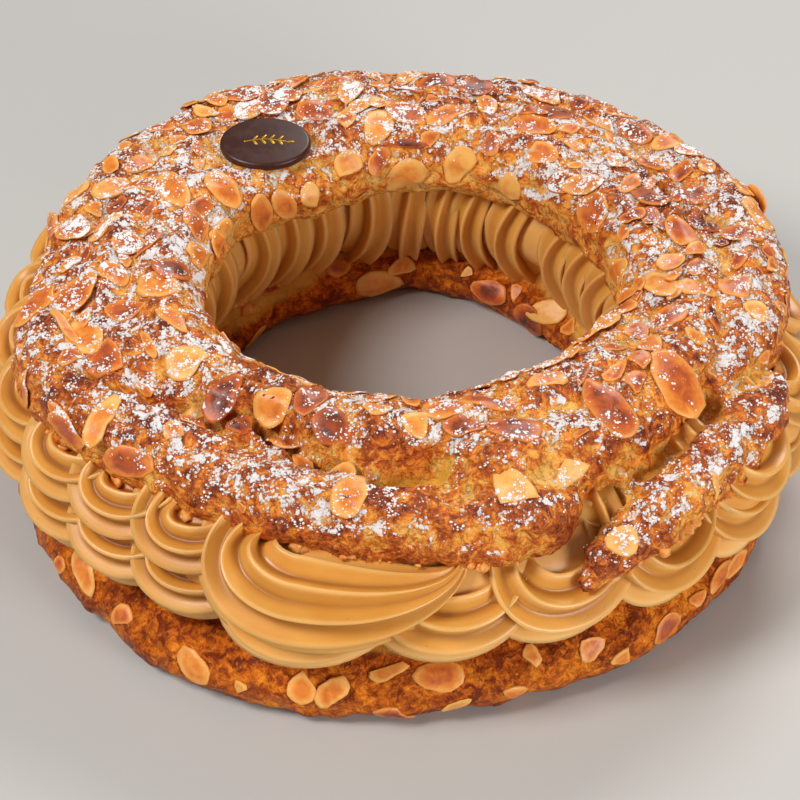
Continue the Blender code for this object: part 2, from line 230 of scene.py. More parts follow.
@dataclass(frozen=True)
class Section:
    """The outline of a rope: a circle, or the ridged star that a piping nozzle leaves."""

    corners: int
    ridges: int = 0
    depth: float = 0.0
    flatness: float = 1.0
    sharpness: float = 1.15

    def outline(self) -> list[tuple[float, float]]:
        """The outline's points, one unit in radius, as (outwards, across)."""
        points = []
        for index in range(self.corners):
            turn = math.tau * index / self.corners
            groove = abs(math.sin(self.ridges * turn / 2)) ** self.sharpness if self.ridges else 0.0
            reach = 1 - self.depth * groove
            points.append((reach * math.cos(turn) * self.flatness, reach * math.sin(turn)))
        return points


def sweep(
    shape: bmesh.types.BMesh,
    spine: Sequence[Vector],
    radii: Sequence[float],
    section: Section,
    closed: bool = False,
    twist: float = 0.0,
) -> None:
    """Extrudes a section along a spine, with its first corner kept away from the ring's middle.

    Args:
        shape: The bmesh that gets the rope.
        spine: The rope's middle line.
        radii: The rope's radius at each point of the spine.
        section: The rope's outline.
        closed: Whether the spine is a loop.
        twist: How far the section turns from end to end, in degrees.
    """
    outline = section.outline()
    ring = bmesh.ops.create_circle(shape, cap_ends=False, segments=len(outline), radius=1)["verts"]
    first = ring
    last = len(spine) - 1
    for index, (point, radius) in enumerate(zip(spine, radii)):
        before = spine[index - 1] if index or closed else point
        after = spine[(index + 1) % len(spine)] if index < last or closed else point
        along = (after - before).normalized()
        outward = Vector((point.x, point.y, 0)).normalized()
        outward = (outward - along * outward.dot(along)).normalized()
        across = along.cross(outward)
        if index:
            ring = next_ring(shape, ring)
        turn = Matrix.Rotation(math.radians(twist) * index / last, 3, along)
        for vertex, (out, side) in zip(ring, outline):
            vertex.co = point + turn @ (outward * out + across * side) * radius
    if closed:
        bmesh.ops.bridge_loops(shape, edges=loop_edges(ring) + loop_edges(first))
    else:
        bmesh.ops.contextual_create(shape, geom=loop_edges(first))
        bmesh.ops.contextual_create(shape, geom=loop_edges(ring))


def loop_edges(ring: Sequence[bmesh.types.BMVert]) -> list[bmesh.types.BMEdge]:
    """The edges that join a ring's points, in order."""
    pairs = zip(ring, [*ring[1:], ring[0]])
    return [next(edge for edge in one.link_edges if edge.other_vert(one) is two) for one, two in pairs]


def next_ring(shape: bmesh.types.BMesh, ring: Sequence[bmesh.types.BMVert]) -> list[bmesh.types.BMVert]:
    """Extrudes a ring of edges, and gives the new points in the old ones' order."""
    grown = bmesh.ops.extrude_edge_only(shape, edges=loop_edges(ring))["geom"]
    fresh = {part for part in grown if isinstance(part, bmesh.types.BMVert)}
    return [next(edge.other_vert(v) for edge in v.link_edges if edge.other_vert(v) in fresh) for v in ring]


def fused(name: str, shape: bmesh.types.BMesh, grid: float) -> bpy.types.Object:
    """Melts the overlapping closed shapes of a bmesh into one skin.

    Args:
        name: The piece's name.
        shape: The bmesh, which is used up.
        grid: The size of the grid that the skin is drawn on.

    Returns:
        The new object.
    """
    item = new_object(name, closed_mesh(shape))
    melt = item.modifiers.new("melt", "REMESH")
    melt.mode = "VOXEL"
    melt.voxel_size = grid
    return applied(item)


def without_crumbs(item: bpy.types.Object) -> None:
    """Keeps an object's largest connected skin, without inner pockets."""
    shape = bmesh.new()
    shape.from_mesh(item.data)
    waiting = set(shape.verts)
    skins = []
    while waiting:
        skin = {waiting.pop()}
        edge = list(skin)
        while edge:
            vertex = edge.pop()
            for link in vertex.link_edges:
                other = link.other_vert(vertex)
                if other not in skin:
                    skin.add(other)
                    edge.append(other)
        waiting -= skin
        skins.append(skin)
    kept = max(skins, key=len)
    bmesh.ops.delete(shape, geom=[vertex for vertex in shape.verts if vertex not in kept], context="VERTS")
    shape.to_mesh(item.data)
    shape.free()


class Heap:
    """Many small closed shapes, gathered into one mesh."""

    def __init__(self) -> None:
        self.points: list[np.ndarray] = []
        self.faces: list[list[int]] = []
        self.tones: dict[str, list[np.ndarray]] = {}
        self.size = 0

    def add(self, points: np.ndarray, faces: Iterable[Sequence[int]], **tones: np.ndarray) -> None:
        """Adds one shape, with a number for each of its points under each tone's name."""
        self.points.append(points)
        self.faces.extend([corner + self.size for corner in face] for face in faces)
        for name, values in tones.items():
            self.tones.setdefault(name, []).append(values)
        self.size += len(points)

    def build(self, name: str) -> bpy.types.Object:
        """Makes the object."""
        mesh = bpy.data.meshes.new(name)
        mesh.from_pydata(np.concatenate(self.points).tolist(), [], self.faces)
        mesh.shade_smooth()
        for tone, values in self.tones.items():
            set_tone(mesh, tone, np.concatenate(values))
        return new_object(name, mesh)


# ---------------------------------------------------------------------------------------------
# Materials
# ---------------------------------------------------------------------------------------------


class Graph:
    """A node tree with short calls for adding nodes and joining them."""

    def __init__(self, tree: bpy.types.NodeTree) -> None:
        self.tree = tree
        self.coordinates: bpy.types.NodeSocket | None = None

    def join(self, socket: bpy.types.NodeSocket, value: object) -> None:
        """Links a socket to another, or sets its value."""
        if isinstance(value, bpy.types.NodeSocket):
            self.tree.links.new(value, socket)
        else:
            socket.default_value = value

    def add(self, kind: str, inputs: dict | None = None, **settings: object) -> bpy.types.Node:
        """Adds a node.

        Args:
            kind: The node's type, without its leading ShaderNode.
            inputs: What its sockets hold, by name or index.
            settings: Its other properties.

        Returns:
            The node.
        """
        node = self.tree.nodes.new("ShaderNode" + kind)
        for key, value in settings.items():
            setattr(node, key, value)
        for key, value in (inputs or {}).items():
            self.join(node.inputs[key], value)
        return node

    def place(self) -> bpy.types.NodeSocket:
        """The point's own place on the piece."""
        if self.coordinates is None:
            self.coordinates = self.add("TexCoord").outputs["Object"]
        return self.coordinates

    def grain(self, size: float, detail: float = 2.0, rough: float = 0.5, warp: float = 0.0) -> bpy.types.NodeSocket:
        """A noise whose lumps are about size across."""
        inputs = {"Vector": self.place(), "Scale": 1 / size, "Detail": detail, "Roughness": rough, "Distortion": warp}
        return self.add("TexNoise", inputs).outputs["Fac"]

    def math(self, kind: str, one: object, two: object = 0.0) -> bpy.types.NodeSocket:
        """A sum on two values."""
        return self.add("Math", {0: one, 1: two}, operation=kind).outputs[0]

    def span(self, value: object, low: object, high: object, start: float = 0.0, end: float = 1.0) -> bpy.types.NodeSocket:
        """Maps low to high onto start to end, and stops there."""
        inputs = {"Value": value, "From Min": low, "From Max": high, "To Min": start, "To Max": end}
        return self.add("MapRange", inputs, interpolation_type="SMOOTHSTEP").outputs[0]

    def mix(self, share: object, one: object, two: object, kind: str = "MIX") -> bpy.types.NodeSocket:
        """Mixes two colours."""
        node = self.add("Mix", data_type="RGBA", blend_type=kind)
        for index, value in ((0, share), (6, one), (7, two)):
            self.join(node.inputs[index], value)
        return node.outputs[2]

    def ramp(self, value: object, stops: Sequence[tuple[float, Colour]]) -> bpy.types.NodeSocket:
        """Reads a colour off a row of (position, colour) stops."""
        node = self.add("ValToRGB", {0: value})
        stations = node.color_ramp.elements
        while len(stations) < len(stops):
            stations.new(1.0)
        for station, (position, colour) in zip(stations, stops):
            station.position = position
            station.color = colour
        return node.outputs[0]

    def tone(self, name: str) -> bpy.types.NodeSocket:
        """A number that the mesh stores for each of its points."""
        return self.add("Attribute", attribute_name=name, attribute_type="GEOMETRY").outputs["Fac"]

    def group(self, tree: bpy.types.NodeTree, **inputs: object) -> bpy.types.Node:
        """Places a shared group."""
        node = self.add("Group", node_tree=tree)
        for name, value in inputs.items():
            self.join(node.inputs[name.replace("_", " ").capitalize()], value)
        return node

    def bump(self, height: object, strength: float, depth: float, normal: object = None) -> bpy.types.NodeSocket:
        """Turns a height into a normal; depth is the height of 1, in metres."""
        inputs = {"Height": height, "Strength": strength, "Distance": depth}
        if normal is not None:
            inputs["Normal"] = normal
        return self.add("Bump", inputs).outputs["Normal"]


def new_group(name: str, inputs: Sequence[tuple[str, float]], outputs: Sequence[tuple[str, str]]) -> tuple[Graph, dict, dict]:
    """Starts a shader node group.

    Args:
        name: The group's name.
        inputs: Each number that goes in, with its usual value.
        outputs: Each result, with its kind of socket.

    Returns:
        The group's graph, its inputs as sockets to read, and its outputs as sockets to join.
    """
    tree = bpy.data.node_groups.new(name, "ShaderNodeTree")
    for label, usual in inputs:
        socket = tree.interface.new_socket(name=label, in_out="INPUT", socket_type="NodeSocketFloat")
        socket.default_value = usual
    for label, kind in outputs:
        tree.interface.new_socket(name=label, in_out="OUTPUT", socket_type=kind)
    source = tree.nodes.new("NodeGroupInput")
    sink = tree.nodes.new("NodeGroupOutput")
    read = {label: source.outputs[label] for label, _ in inputs}
    join = {label: sink.inputs[label] for label, _ in outputs}
    return Graph(tree), read, join


def srgb(red: int, green: int, blue: int) -> Colour:
    """A colour from its everyday 0 to 255 values, made linear."""
    parts = []
    for value in (red, green, blue):
        share = value / 255
        parts.append(share / 12.92 if share <= 0.04045 else ((share + 0.055) / 1.055) ** 2.4)
    return (parts[0], parts[1], parts[2], 1.0)


@dataclass(frozen=True)
class SugarDust:
    """Icing sugar sifted over a surface: white specks and clumps that lie where it faces up."""

    speck: float = 0.55 * MM
    clump: float = 4.5 * MM
    white: Colour = srgb(252, 248, 248)

    def group(self) -> bpy.types.NodeTree:
        """The shared group: Dusting goes in, Mask and Height come out."""
        found = bpy.data.node_groups.get("icing sugar dust")
        if found:
            return found
        graph, read, join = new_group(
            "icing sugar dust", [("Dusting", 0.5)], [("Mask", "NodeSocketFloat"), ("Height", "NodeSocketFloat")]
        )
        facing = graph.add("SeparateXYZ", {0: graph.add("NewGeometry").outputs["Normal"]}).outputs["Z"]
        lies = graph.span(facing, 0.0, 0.7)
        clumps = graph.span(graph.grain(self.clump, 3.0, 0.6, 0.4), 0.32, 0.7)
        amount = graph.math("MULTIPLY", graph.math("MULTIPLY", read["Dusting"], lies), graph.math("ADD", clumps, 0.25))
        mask = graph.math("MAXIMUM", self.dots(graph, amount, 1.0), self.dots(graph, amount, 1.9))
        heaps = graph.math("MULTIPLY", amount, graph.span(clumps, 0.3, 0.9))
        mask = graph.math("MAXIMUM", mask, self.dots(graph, heaps, 3.6))
        specks = graph.grain(self.speck * 0.7, 2.0, 0.6)
        graph.join(join["Mask"], mask)
        graph.join(join["Height"], graph.math("MULTIPLY", mask, graph.math("ADD", specks, 0.5)))
        return graph.tree

    def dots(self, graph: Graph, amount: object, size: float) -> bpy.types.NodeSocket:
        """Round specks of many sizes with soft crumbled edges.

        Args:
            graph: Where the nodes go.
            amount: How much sugar lies here, from 0 to 1.
            size: The specks' size against the finest ones.

        Returns:
            1 in the specks and 0 between them.
        """
        reach = self.speck * size
        crumble = graph.add("TexNoise", {"Vector": graph.place(), "Scale": 2.6 / reach, "Detail": 2.0})
        shift = graph.add("VectorMath", {0: crumble.outputs["Color"], 1: (0.5, 0.5, 0.5)}, operation="SUBTRACT")
        shift = graph.add("VectorMath", {0: shift.outputs[0], "Scale": reach * 1.1}, operation="SCALE")
        spot = graph.add("VectorMath", {0: graph.place(), 1: shift.outputs[0]}, operation="ADD").outputs[0]
        cells = graph.add("TexVoronoi", {"Vector": spot, "Scale": 1 / (reach * 1.25), "Randomness": 1.0})
        chance = graph.add("SeparateXYZ", {0: cells.outputs["Color"]}).outputs[0]
        limit = graph.math("SUBTRACT", 1.0, amount)
        size_here = graph.span(chance, limit, graph.math("ADD", limit, 0.7), 0.0, 0.62)
        edge = graph.math("SUBTRACT", size_here, cells.outputs["Distance"])
        inside = graph.span(edge, -0.02, 0.1)
        return graph.math("MULTIPLY", inside, graph.span(chance, limit, graph.math("ADD", limit, 0.02)))


@dataclass(frozen=True)
class CrustFinish:
    """Baked choux: yellow crumb in the cracks, golden sides, brown blistered tops."""

    name: str
    crumb: Colour
    pale: Colour
    golden: Colour
    brown: Colour
    dark: Colour
    gloss: float = 0.32
    roughness: float = 0.42

    def browned(self) -> bpy.types.NodeTree:
        """The shared group: Bake and Crumb go in, tones and heights of the baked skin come out."""
        found = bpy.data.node_groups.get("baked skin")
        if found:
            return found
        graph, read, join = new_group(
            "baked skin",
            [("Bake", 0.5)],
            [("Tone", "NodeSocketFloat"), ("Pores", "NodeSocketFloat"), ("Grain", "NodeSocketFloat")],
        )
        patches = graph.span(graph.grain(15 * MM, 3.0, 0.6, 0.6), 0.3, 0.7, -0.2, 0.2)
        freckles = graph.span(graph.grain(3.2 * MM, 5.0, 0.7, 0.8), 0.34, 0.66, -0.3, 0.3)
        tone = graph.math("ADD", read["Bake"], graph.math("ADD", patches, freckles))
        cells = graph.add("TexVoronoi", {"Vector": graph.place(), "Scale": 1 / (1.1 * MM), "Randomness": 1.0})
        pores = graph.span(cells.outputs["Distance"], 0.05, 0.3)
        crinkle = graph.math("SUBTRACT", graph.grain(4.5 * MM, 5.0, 0.6, 0.4), 0.5)
        plates = graph.span(graph.math("ABSOLUTE", crinkle), 0.0, 0.07)
        coarse = graph.grain(1.1 * MM, 4.0, 0.7, 0.5)
        grain = graph.math("ADD", graph.math("MULTIPLY", plates, 0.28), graph.math("MULTIPLY", coarse, 0.72))
        graph.join(join["Tone"], tone)
        graph.join(join["Pores"], pores)
        graph.join(join["Grain"], grain)
        return graph.tree

    def material(self, dust: SugarDust) -> bpy.types.Material:
        """The material, for a mesh that stores bake, crumb and dusting."""
        finish = bpy.data.materials.new(self.name)
        finish.use_nodes = True
        graph = Graph(finish.node_tree)
        shader = finish.node_tree.nodes["Principled BSDF"]
        skin = graph.group(self.browned(), bake=graph.tone("bake"))
        tone, pores, grain = (skin.outputs[name] for name in ("Tone", "Pores", "Grain"))
        colour = graph.ramp(
            tone, ((0.0, self.pale), (0.3, self.golden), (0.58, self.brown), (0.95, self.dark))
        )
        colour = graph.mix(graph.span(grain, 0.67, 0.8, 0.0, 0.65), colour, self.pale)
        colour = graph.mix(graph.span(grain, 0.48, 0.32, 0.0, 0.5), colour, self.dark)
        crumb_share = graph.span(graph.tone("crumb"), 0.25, 0.65, 0.0, 0.92)
        colour = graph.mix(crumb_share, colour, self.crumb)
        colour = graph.mix(graph.span(pores, 1.0, 0.0, 0.0, 0.25), colour, self.dark)
        sugar = graph.group(dust.group(), dusting=graph.tone("dusting"))
        colour = graph.mix(sugar.outputs["Mask"], colour, dust.white)
        graph.join(shader.inputs["Base Color"], colour)
        rough = graph.span(tone, 0.2, 0.9, self.roughness + 0.15, self.roughness - 0.12)
        rough = graph.math("MAXIMUM", rough, graph.math("MULTIPLY", sugar.outputs["Mask"], 0.9))
        graph.join(shader.inputs["Roughness"], rough)
        shader.inputs["Specular IOR Level"].default_value = self.gloss
        shader.inputs["Subsurface Weight"].default_value = 0.06
        shader.inputs["Subsurface Scale"].default_value = 1.5 * MM
        shader.inputs["Subsurface Radius"].default_value = (1.0, 0.45, 0.2)
        normal = graph.bump(grain, 0.9, 1.3 * MM)
        normal = graph.bump(pores, 0.5, 0.45 * MM, normal)
        normal = graph.bump(sugar.outputs["Height"], 0.8, 0.4 * MM, normal)
        graph.join(shader.inputs["Normal"], normal)
        return finish


@dataclass(frozen=True)
class CreamFinish:
    """Praline buttercream: smooth satin tan with fine hazelnut specks, with painted shade darkening the grooves and
    painted light on the ridge crests and the low outer lips.
    """

    name: str = "praline_cream_finish"
    light: Colour = srgb(226, 164, 78)
    deep: Colour = srgb(216, 148, 58)
    # The groove colour is painted shade, laid into the grooves between the ridges.
    groove: Colour = srgb(152, 80, 12)
    # The lighter tint is painted light, laid on the ridge crests and the low outer lips.
    painted_light_tint: Colour = srgb(244, 194, 122)
    speck: Colour = srgb(110, 66, 28)
    roughness: float = 0.3

    def material(self) -> bpy.types.Material:
        """The material."""
        finish = bpy.data.materials.new(self.name)
        finish.use_nodes = True
        graph = Graph(finish.node_tree)
        shader = finish.node_tree.nodes["Principled BSDF"]
        cloudy = graph.span(graph.grain(18 * MM, 2.0), 0.3, 0.7)
        colour = graph.mix(cloudy, self.light, self.deep)
        # Painted light: the low outer lips are lightened.
        colour = graph.mix(graph.span(graph.tone("pale"), 0.0, 1.0, 0.0, 0.75), colour, self.painted_light_tint)
        # Painted shade in the grooves, then a painted highlight on the ridge crests.
        colour = graph.mix(graph.span(graph.tone("ridge"), 0.15, -0.8, 0.0, 0.9), colour, self.groove)
        colour = graph.mix(graph.span(graph.tone("ridge"), 0.25, 0.9, 0.0, 0.5), colour, self.painted_light_tint)
        cells = graph.add("TexVoronoi", {"Vector": graph.place(), "Scale": 1 / (2.6 * MM), "Randomness": 1.0})
        dots = graph.span(cells.outputs["Distance"], 0.075, 0.04)
        some = graph.span(graph.grain(6 * MM, 1.0), 0.4, 0.6)
        colour = graph.mix(graph.math("MULTIPLY", dots, graph.math("MULTIPLY", some, 0.6)), colour, self.speck)
        graph.join(shader.inputs["Base Color"], colour)
        graph.join(shader.inputs["Roughness"], graph.span(cloudy, 0.0, 1.0, self.roughness, self.roughness + 0.1))
        shader.inputs["Specular IOR Level"].default_value = 0.45
        shader.inputs["Subsurface Weight"].default_value = 0.25
        shader.inputs["Subsurface Scale"].default_value = 2.2 * MM
        shader.inputs["Subsurface Radius"].default_value = (1.0, 0.5, 0.2)
        streaks = graph.grain(1.1 * MM, 2.0, 0.6, 0.5)
        graph.join(shader.inputs["Normal"], graph.bump(streaks, 0.12, 0.2 * MM))
        return finish


@dataclass(frozen=True)
class AlmondFinish:
    """Flaked almond: a pale rim round a face that toasts from gold to nut brown and burnt plum."""

    name: str = "flaked_almond_finish"
    rim: Colour = srgb(240, 168, 86)
    pale: Colour = srgb(244, 184, 98)
    golden: Colour = srgb(232, 136, 50)
    brown: Colour = srgb(190, 88, 38)
    burnt: Colour = srgb(92, 38, 28)

    def material(self, dust: SugarDust) -> bpy.types.Material:
        """The material, for a mesh that stores toast, rim and dusting."""
        finish = bpy.data.materials.new(self.name)
        finish.use_nodes = True
        graph = Graph(finish.node_tree)
        shader = finish.node_tree.nodes["Principled BSDF"]
        mottled = graph.span(graph.grain(4.5 * MM, 3.0, 0.6, 0.5), 0.3, 0.7, -0.14, 0.14)
        inward = graph.tone("rim")
        toast = graph.math("ADD", graph.tone("toast"), mottled)
        toast = graph.math("ADD", toast, graph.span(inward, 0.05, 0.8, -0.34, 0.1))
        colour = graph.ramp(toast, ((0.0, self.pale), (0.35, self.golden), (0.65, self.brown), (0.98, self.burnt)))
        edge = graph.span(inward, 0.14, 0.04, 0.0, 0.8)
        edge = graph.math("MULTIPLY", edge, graph.span(graph.tone("toast"), 1.05, 0.7))
        colour = graph.mix(edge, colour, self.rim)
        sugar = graph.group(dust.group(), dusting=graph.tone("dusting"))
        colour = graph.mix(sugar.outputs["Mask"], colour, dust.white)
        graph.join(shader.inputs["Base Color"], colour)
        rough = graph.math("MAXIMUM", 0.42, graph.math("MULTIPLY", sugar.outputs["Mask"], 0.9))
        graph.join(shader.inputs["Roughness"], rough)
        shader.inputs["Specular IOR Level"].default_value = 0.45
        shader.inputs["Subsurface Weight"].default_value = 0.15
        shader.inputs["Subsurface Scale"].default_value = 1.2 * MM
        shader.inputs["Subsurface Radius"].default_value = (1.0, 0.5, 0.2)
        normal = graph.bump(graph.grain(1.4 * MM, 3.0, 0.6, 0.4), 0.3, 0.3 * MM)
        normal = graph.bump(sugar.outputs["Height"], 0.7, 0.35 * MM, normal)
        graph.join(shader.inputs["Normal"], normal)
        return finish


@dataclass(frozen=True)
class PlainFinish:
    """A simple finish whose colour varies a little: chocolate, gilding or sugar."""

    name: str
    colour: Colour
    other: Colour
    roughness: float
    metallic: float = 0.0
    patch: float = 5 * MM
    relief: float = 0.05 * MM

    def material(self) -> bpy.types.Material:
        """The material."""
        finish = bpy.data.materials.new(self.name)
        finish.use_nodes = True
        graph = Graph(finish.node_tree)
        shader = finish.node_tree.nodes["Principled BSDF"]
        cloud = graph.span(graph.grain(self.patch, 3.0, 0.6), 0.3, 0.7)
        graph.join(shader.inputs["Base Color"], graph.mix(cloud, self.colour, self.other))
        graph.join(shader.inputs["Roughness"], graph.span(cloud, 0.0, 1.0, self.roughness, self.roughness + 0.12))
        shader.inputs["Metallic"].default_value = self.metallic
        graph.join(shader.inputs["Normal"], graph.bump(graph.grain(self.patch / 6, 2.0), 0.3, self.relief))
        return finish


# ---------------------------------------------------------------------------------------------
# Lid
# ---------------------------------------------------------------------------------------------


@dataclass
class Lid:
    """The baked top: strands of dough fused together, cracked open at the front left."""

    middle: float = 58.5 * MM
    seam: float = 49.5 * MM
    strand_radius: float = 14 * MM
    inner_at: float = 70 * MM
    outer_at: float = 92 * MM
    crest_at: float = 81 * MM
    inner_bends: Sequence[Bend] = ((-155, -7 * MM, 17), (85, 5 * MM, 28), (30, -1.5 * MM, 20))
    outer_bends: Sequence[Bend] = (
        (-68, 9 * MM, 17), (16, 6.5 * MM, 10), (105, 8.5 * MM, 38), (-125, 3 * MM, 30),
    )
    outer_span: tuple[float, float] = (60, 387)
    crest_span: tuple[float, float] = (7, 311)
    web_span: tuple[float, float] = (35, 62)
    web: Place = (99 * MM, 46.5 * MM, 8 * MM)
    # The hanging flap: (angle, radius, height, thickness).
    flap: Sequence[tuple[float, float, float, float]] = (
        (23.2, 114.5 * MM, 42.5 * MM, 2.4 * MM),
        (25, 114 * MM, 44.0 * MM, 3.2 * MM),
        (27.5, 112.5 * MM, 46.0 * MM, 5.5 * MM),
        (31, 110 * MM, 47.5 * MM, 7.5 * MM),
        (37, 108.5 * MM, 49.0 * MM, 8.5 * MM),
        (46, 107.5 * MM, 50.5 * MM, 9.0 * MM),
        (55, 108 * MM, 51.5 * MM, 9.0 * MM),
        (63, 109 * MM, 53.5 * MM, 8.0 * MM),
        (68, 110.5 * MM, 55.5 * MM, 5.5 * MM),
        (70.5, 111 * MM, 57.0 * MM, 3.0 * MM),
    )
    # Cracks that gape between the strands: (angle, radius) of both ends, half the width, and the depth.
    cracks: Sequence[tuple[float, float, float, float, float, float]] = (
        (-62, 99 * MM, -43, 82.5 * MM, 2.6 * MM, 16 * MM),
        (-45, 83 * MM, -31, 76 * MM, 2.2 * MM, 8 * MM),
        (-35, 75.5 * MM, -18, 80.5 * MM, 2.5 * MM, 13 * MM),
        (-21, 80 * MM, -4, 84.5 * MM, 2.2 * MM, 7 * MM),
        (-8, 84.5 * MM, 9, 84 * MM, 4.5 * MM, 9 * MM),
        (150, 83 * MM, 176, 83 * MM, 1.8 * MM, 4 * MM),
        (96, 86 * MM, 120, 85 * MM, 1.8 * MM, 5 * MM),
    )
    plaque_seat: tuple[float, float, float] = (17 * MM, 13 * MM, 0.4 * MM)
    grid: float = 1.22 * MM

    def inner_place(self, angle: float) -> Place:
        """Radius, height and thickness of the inner strand."""
        radius = self.inner_at + bends(self.inner_bends, angle) + waver(angle, 3, 2.5 * MM)
        return radius, self.middle + waver(angle, 4, 2 * MM), self.strand_radius + waver(angle, 5, 1.5 * MM)

    def outer_place(self, angle: float) -> Place:
        """Radius, height and thickness of the outer strand."""
        first, last = self.outer_span
        taper = 0.5 + 0.5 * rise(first, first + 16, angle) * (1 - rise(last - 5, last + 1, angle))
        radius = self.outer_at + bends(self.outer_bends, angle) + waver(angle, 6, 2 * MM)
        front = bends(((-18, 1.0, 38),), angle)
        thickness = (self.strand_radius - 1 * MM - 1 * MM * front + waver(angle, 7, 2 * MM)) * taper
        return radius, self.middle - 1.5 * MM - 1.5 * MM * front + waver(angle, 8, 2 * MM), thickness

    def crest_place(self, angle: float) -> Place:
        """Radius, height and thickness of the crest between the strands."""
        first, last = self.crest_span
        taper = rise(first - 8, first + 8, angle) * (1 - rise(last - 14, last + 2, angle))
        outward = bends(((43, 4 * MM, 25),), angle)
        height = self.middle + 1 * MM + waver(angle, 9, 3 * MM)
        return self.crest_at + outward + waver(angle, 10, 3 * MM), height, 4 * MM + 9 * MM * taper

    def strand(self, shape: bmesh.types.BMesh, span: tuple[float, float], place: Callable[[float], Place]) -> None:
        """Adds one strand, whose place is a function of the angle."""
        first, last = span
        closed = last - first == 360
        count = round((last - first) / 3)
        angles = [first + (last - first) * index / count for index in range(count if closed else count + 1)]
        places = [place(angle) for angle in angles]
        spine = [ring_point(angle, radius, height) for angle, (radius, height, _) in zip(angles, places)]
        sweep(shape, spine, [thickness for _, _, thickness in places], Section(20), closed)

    def underside(self, angle: float, radius: float) -> float:
        """Height of the lid's torn lower face, which dips under the flap."""
        along_flap = rise(17, 24, angle) * (1 - rise(64, 76, angle)) * rise(96 * MM, 103 * MM, radius)
        near_tip = 1 - rise(24, 36, angle)
        return self.seam - (3.5 + 8.5 * near_tip) * MM * along_flap

    def build(self) -> bpy.types.Object:
        """Makes the crust, with its bake, crumb and dusting stored on it."""
        shape = bmesh.new()
        self.strand(shape, (0, 360), self.inner_place)
        self.strand(shape, self.outer_span, self.outer_place)
        self.strand(shape, self.crest_span, self.crest_place)
        self.strand(shape, self.web_span, lambda angle: self.web)
        flap_spine = [ring_point(angle, radius, height) for angle, radius, height, _ in self.flap]
        sweep(shape, flap_spine, [thickness for *_, thickness in self.flap], Section(20))
        item = fused("lid_crust", shape, self.grid)
        without_crumbs(item)
        self.blister(item.data)
        self.crack(item.data)
        self.seat_plaque(item.data)
        self.tear(item.data)
        self.tone(item.data)
        return item

    def crack(self, mesh: bpy.types.Mesh) -> None:
        """Sinks the cracks into the upper side."""
        points = points_of(mesh)
        normals = normals_of(mesh)
        for index, point in enumerate(map(Vector, points)):
            if normals[index][2] < -0.1 or point.z < 52 * MM:
                continue
            angle, radius = ring_place(point)
            stray = noise.noise(point / (6 * MM)) * 1.8 * MM
            sink = 0.0
            for first, near, last, far, width, depth in self.cracks:
                along = rise(0, 4, angle - first) * rise(0, 4, last - angle)
                heart = blend(near, far, (angle - first) / (last - first)) + stray
                sink = max(sink, depth * along * math.exp(-(((radius - heart) / width) ** 4)))
            points[index][2] -= sink
        set_points(mesh, points)

    def seat_plaque(self, mesh: bpy.types.Mesh) -> None:
        """Presses the crust down under the chocolate disc."""
        low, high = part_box("chocolate_plaque")
        half_length, half_depth, sink = self.plaque_seat
        points = points_of(mesh)
        out = np.hypot(
            (points[:, 0] - (low[0] + high[0]) / 2) / half_length, (points[:, 1] - (low[1] + high[1]) / 2) / half_depth
        )
        ceiling = low[2] - sink + 9 * MM * np.clip(out - 1, 0, None) ** 0.8
        points[:, 2] = np.where(points[:, 2] > 60 * MM, np.minimum(points[:, 2], ceiling), points[:, 2])
        set_points(mesh, points)

    def blister(self, mesh: bpy.types.Mesh) -> None:
        """Raises the crust in lumps and wrinkles that run along the strands."""
        points = points_of(mesh)
        normals = normals_of(mesh)
        for index, point in enumerate(map(Vector, points)):
            angle, radius = ring_place(point)
            run = Vector((math.radians(angle) * radius / 2.6, radius, point.z))
            lump = noise.fractal(point / (15 * MM), 0.9, 2.0, 2) * 1.5 * MM
            wrinkle = (abs(noise.noise(run / (7 * MM))) - 0.25) * -1.9 * MM
            blister = noise.fractal(point / (3.4 * MM), 0.8, 2.1, 2) * 0.7 * MM
            flake = -abs(noise.noise(point / (9 * MM) + Vector((9, 2, 5)))) * 2.0 * MM
            points[index] += normals[index] * (lump + wrinkle + blister + flake)
        set_points(mesh, points)

    def tear(self, mesh: bpy.types.Mesh) -> None:
        """Cuts the strands off below in a ragged line."""
        points = points_of(mesh)
        for index, point in enumerate(map(Vector, points)):
            ragged = noise.noise(point / (5 * MM)) * 1.6 * MM + noise.noise(point / (2.2 * MM)) * 1.4 * MM
            floor = self.underside(*ring_place(point)) + ragged
            if point.z < floor:
                points[index][2] = floor
        set_points(mesh, points)

    def tone(self, mesh: bpy.types.Mesh) -> None:
        """Stores how browned, how torn and how sugared each point is; the inner faces of the ring are made paler as
        painted light.
        """
        points = points_of(mesh)
        normals = normals_of(mesh)
        broad = bulge_of(mesh, 60)
        close = bulge_of(mesh, 8)
        bake = 0.25 + np.clip(broad / (3.0 * MM), -0.5, 0.45) * 0.5 + np.clip(close / (0.5 * MM), -1, 1) * 0.12
        bake += 0.14 * np.clip(normals[:, 2], -1, 1) + 0.07
        radii = np.maximum(np.hypot(points[:, 0], points[:, 1]), 1 * MM)
        inwards = -(normals[:, 0] * points[:, 0] + normals[:, 1] * points[:, 1]) / radii
        # Painted light: the crust on the inner faces of the ring is made paler, as if front light reached the inner
        # wall.
        bake -= 0.14 * np.clip(inwards, 0, 1) * (radii < 74 * MM)
        crumb = np.clip(-broad / (4.2 * MM), 0, 1) * 0.8
        floor = np.array([self.underside(*ring_place(point)) for point in map(Vector, points)])
        crumb = np.maximum(crumb, np.clip(1 - (points[:, 2] - floor) / (1.6 * MM), 0, 1) * 0.9)
        crumb = np.maximum(crumb, self.bare_crumb(points, normals))
        dusting = np.array([self.dusting(*ring_place(point)) for point in map(Vector, points)])
        dusting *= 1 - 0.9 * np.clip(crumb, 0, 1)
        set_tone(mesh, "bake", evened(mesh, bake, 2))
        set_tone(mesh, "crumb", evened(mesh, crumb, 2))
        set_tone(mesh, "dusting", dusting)

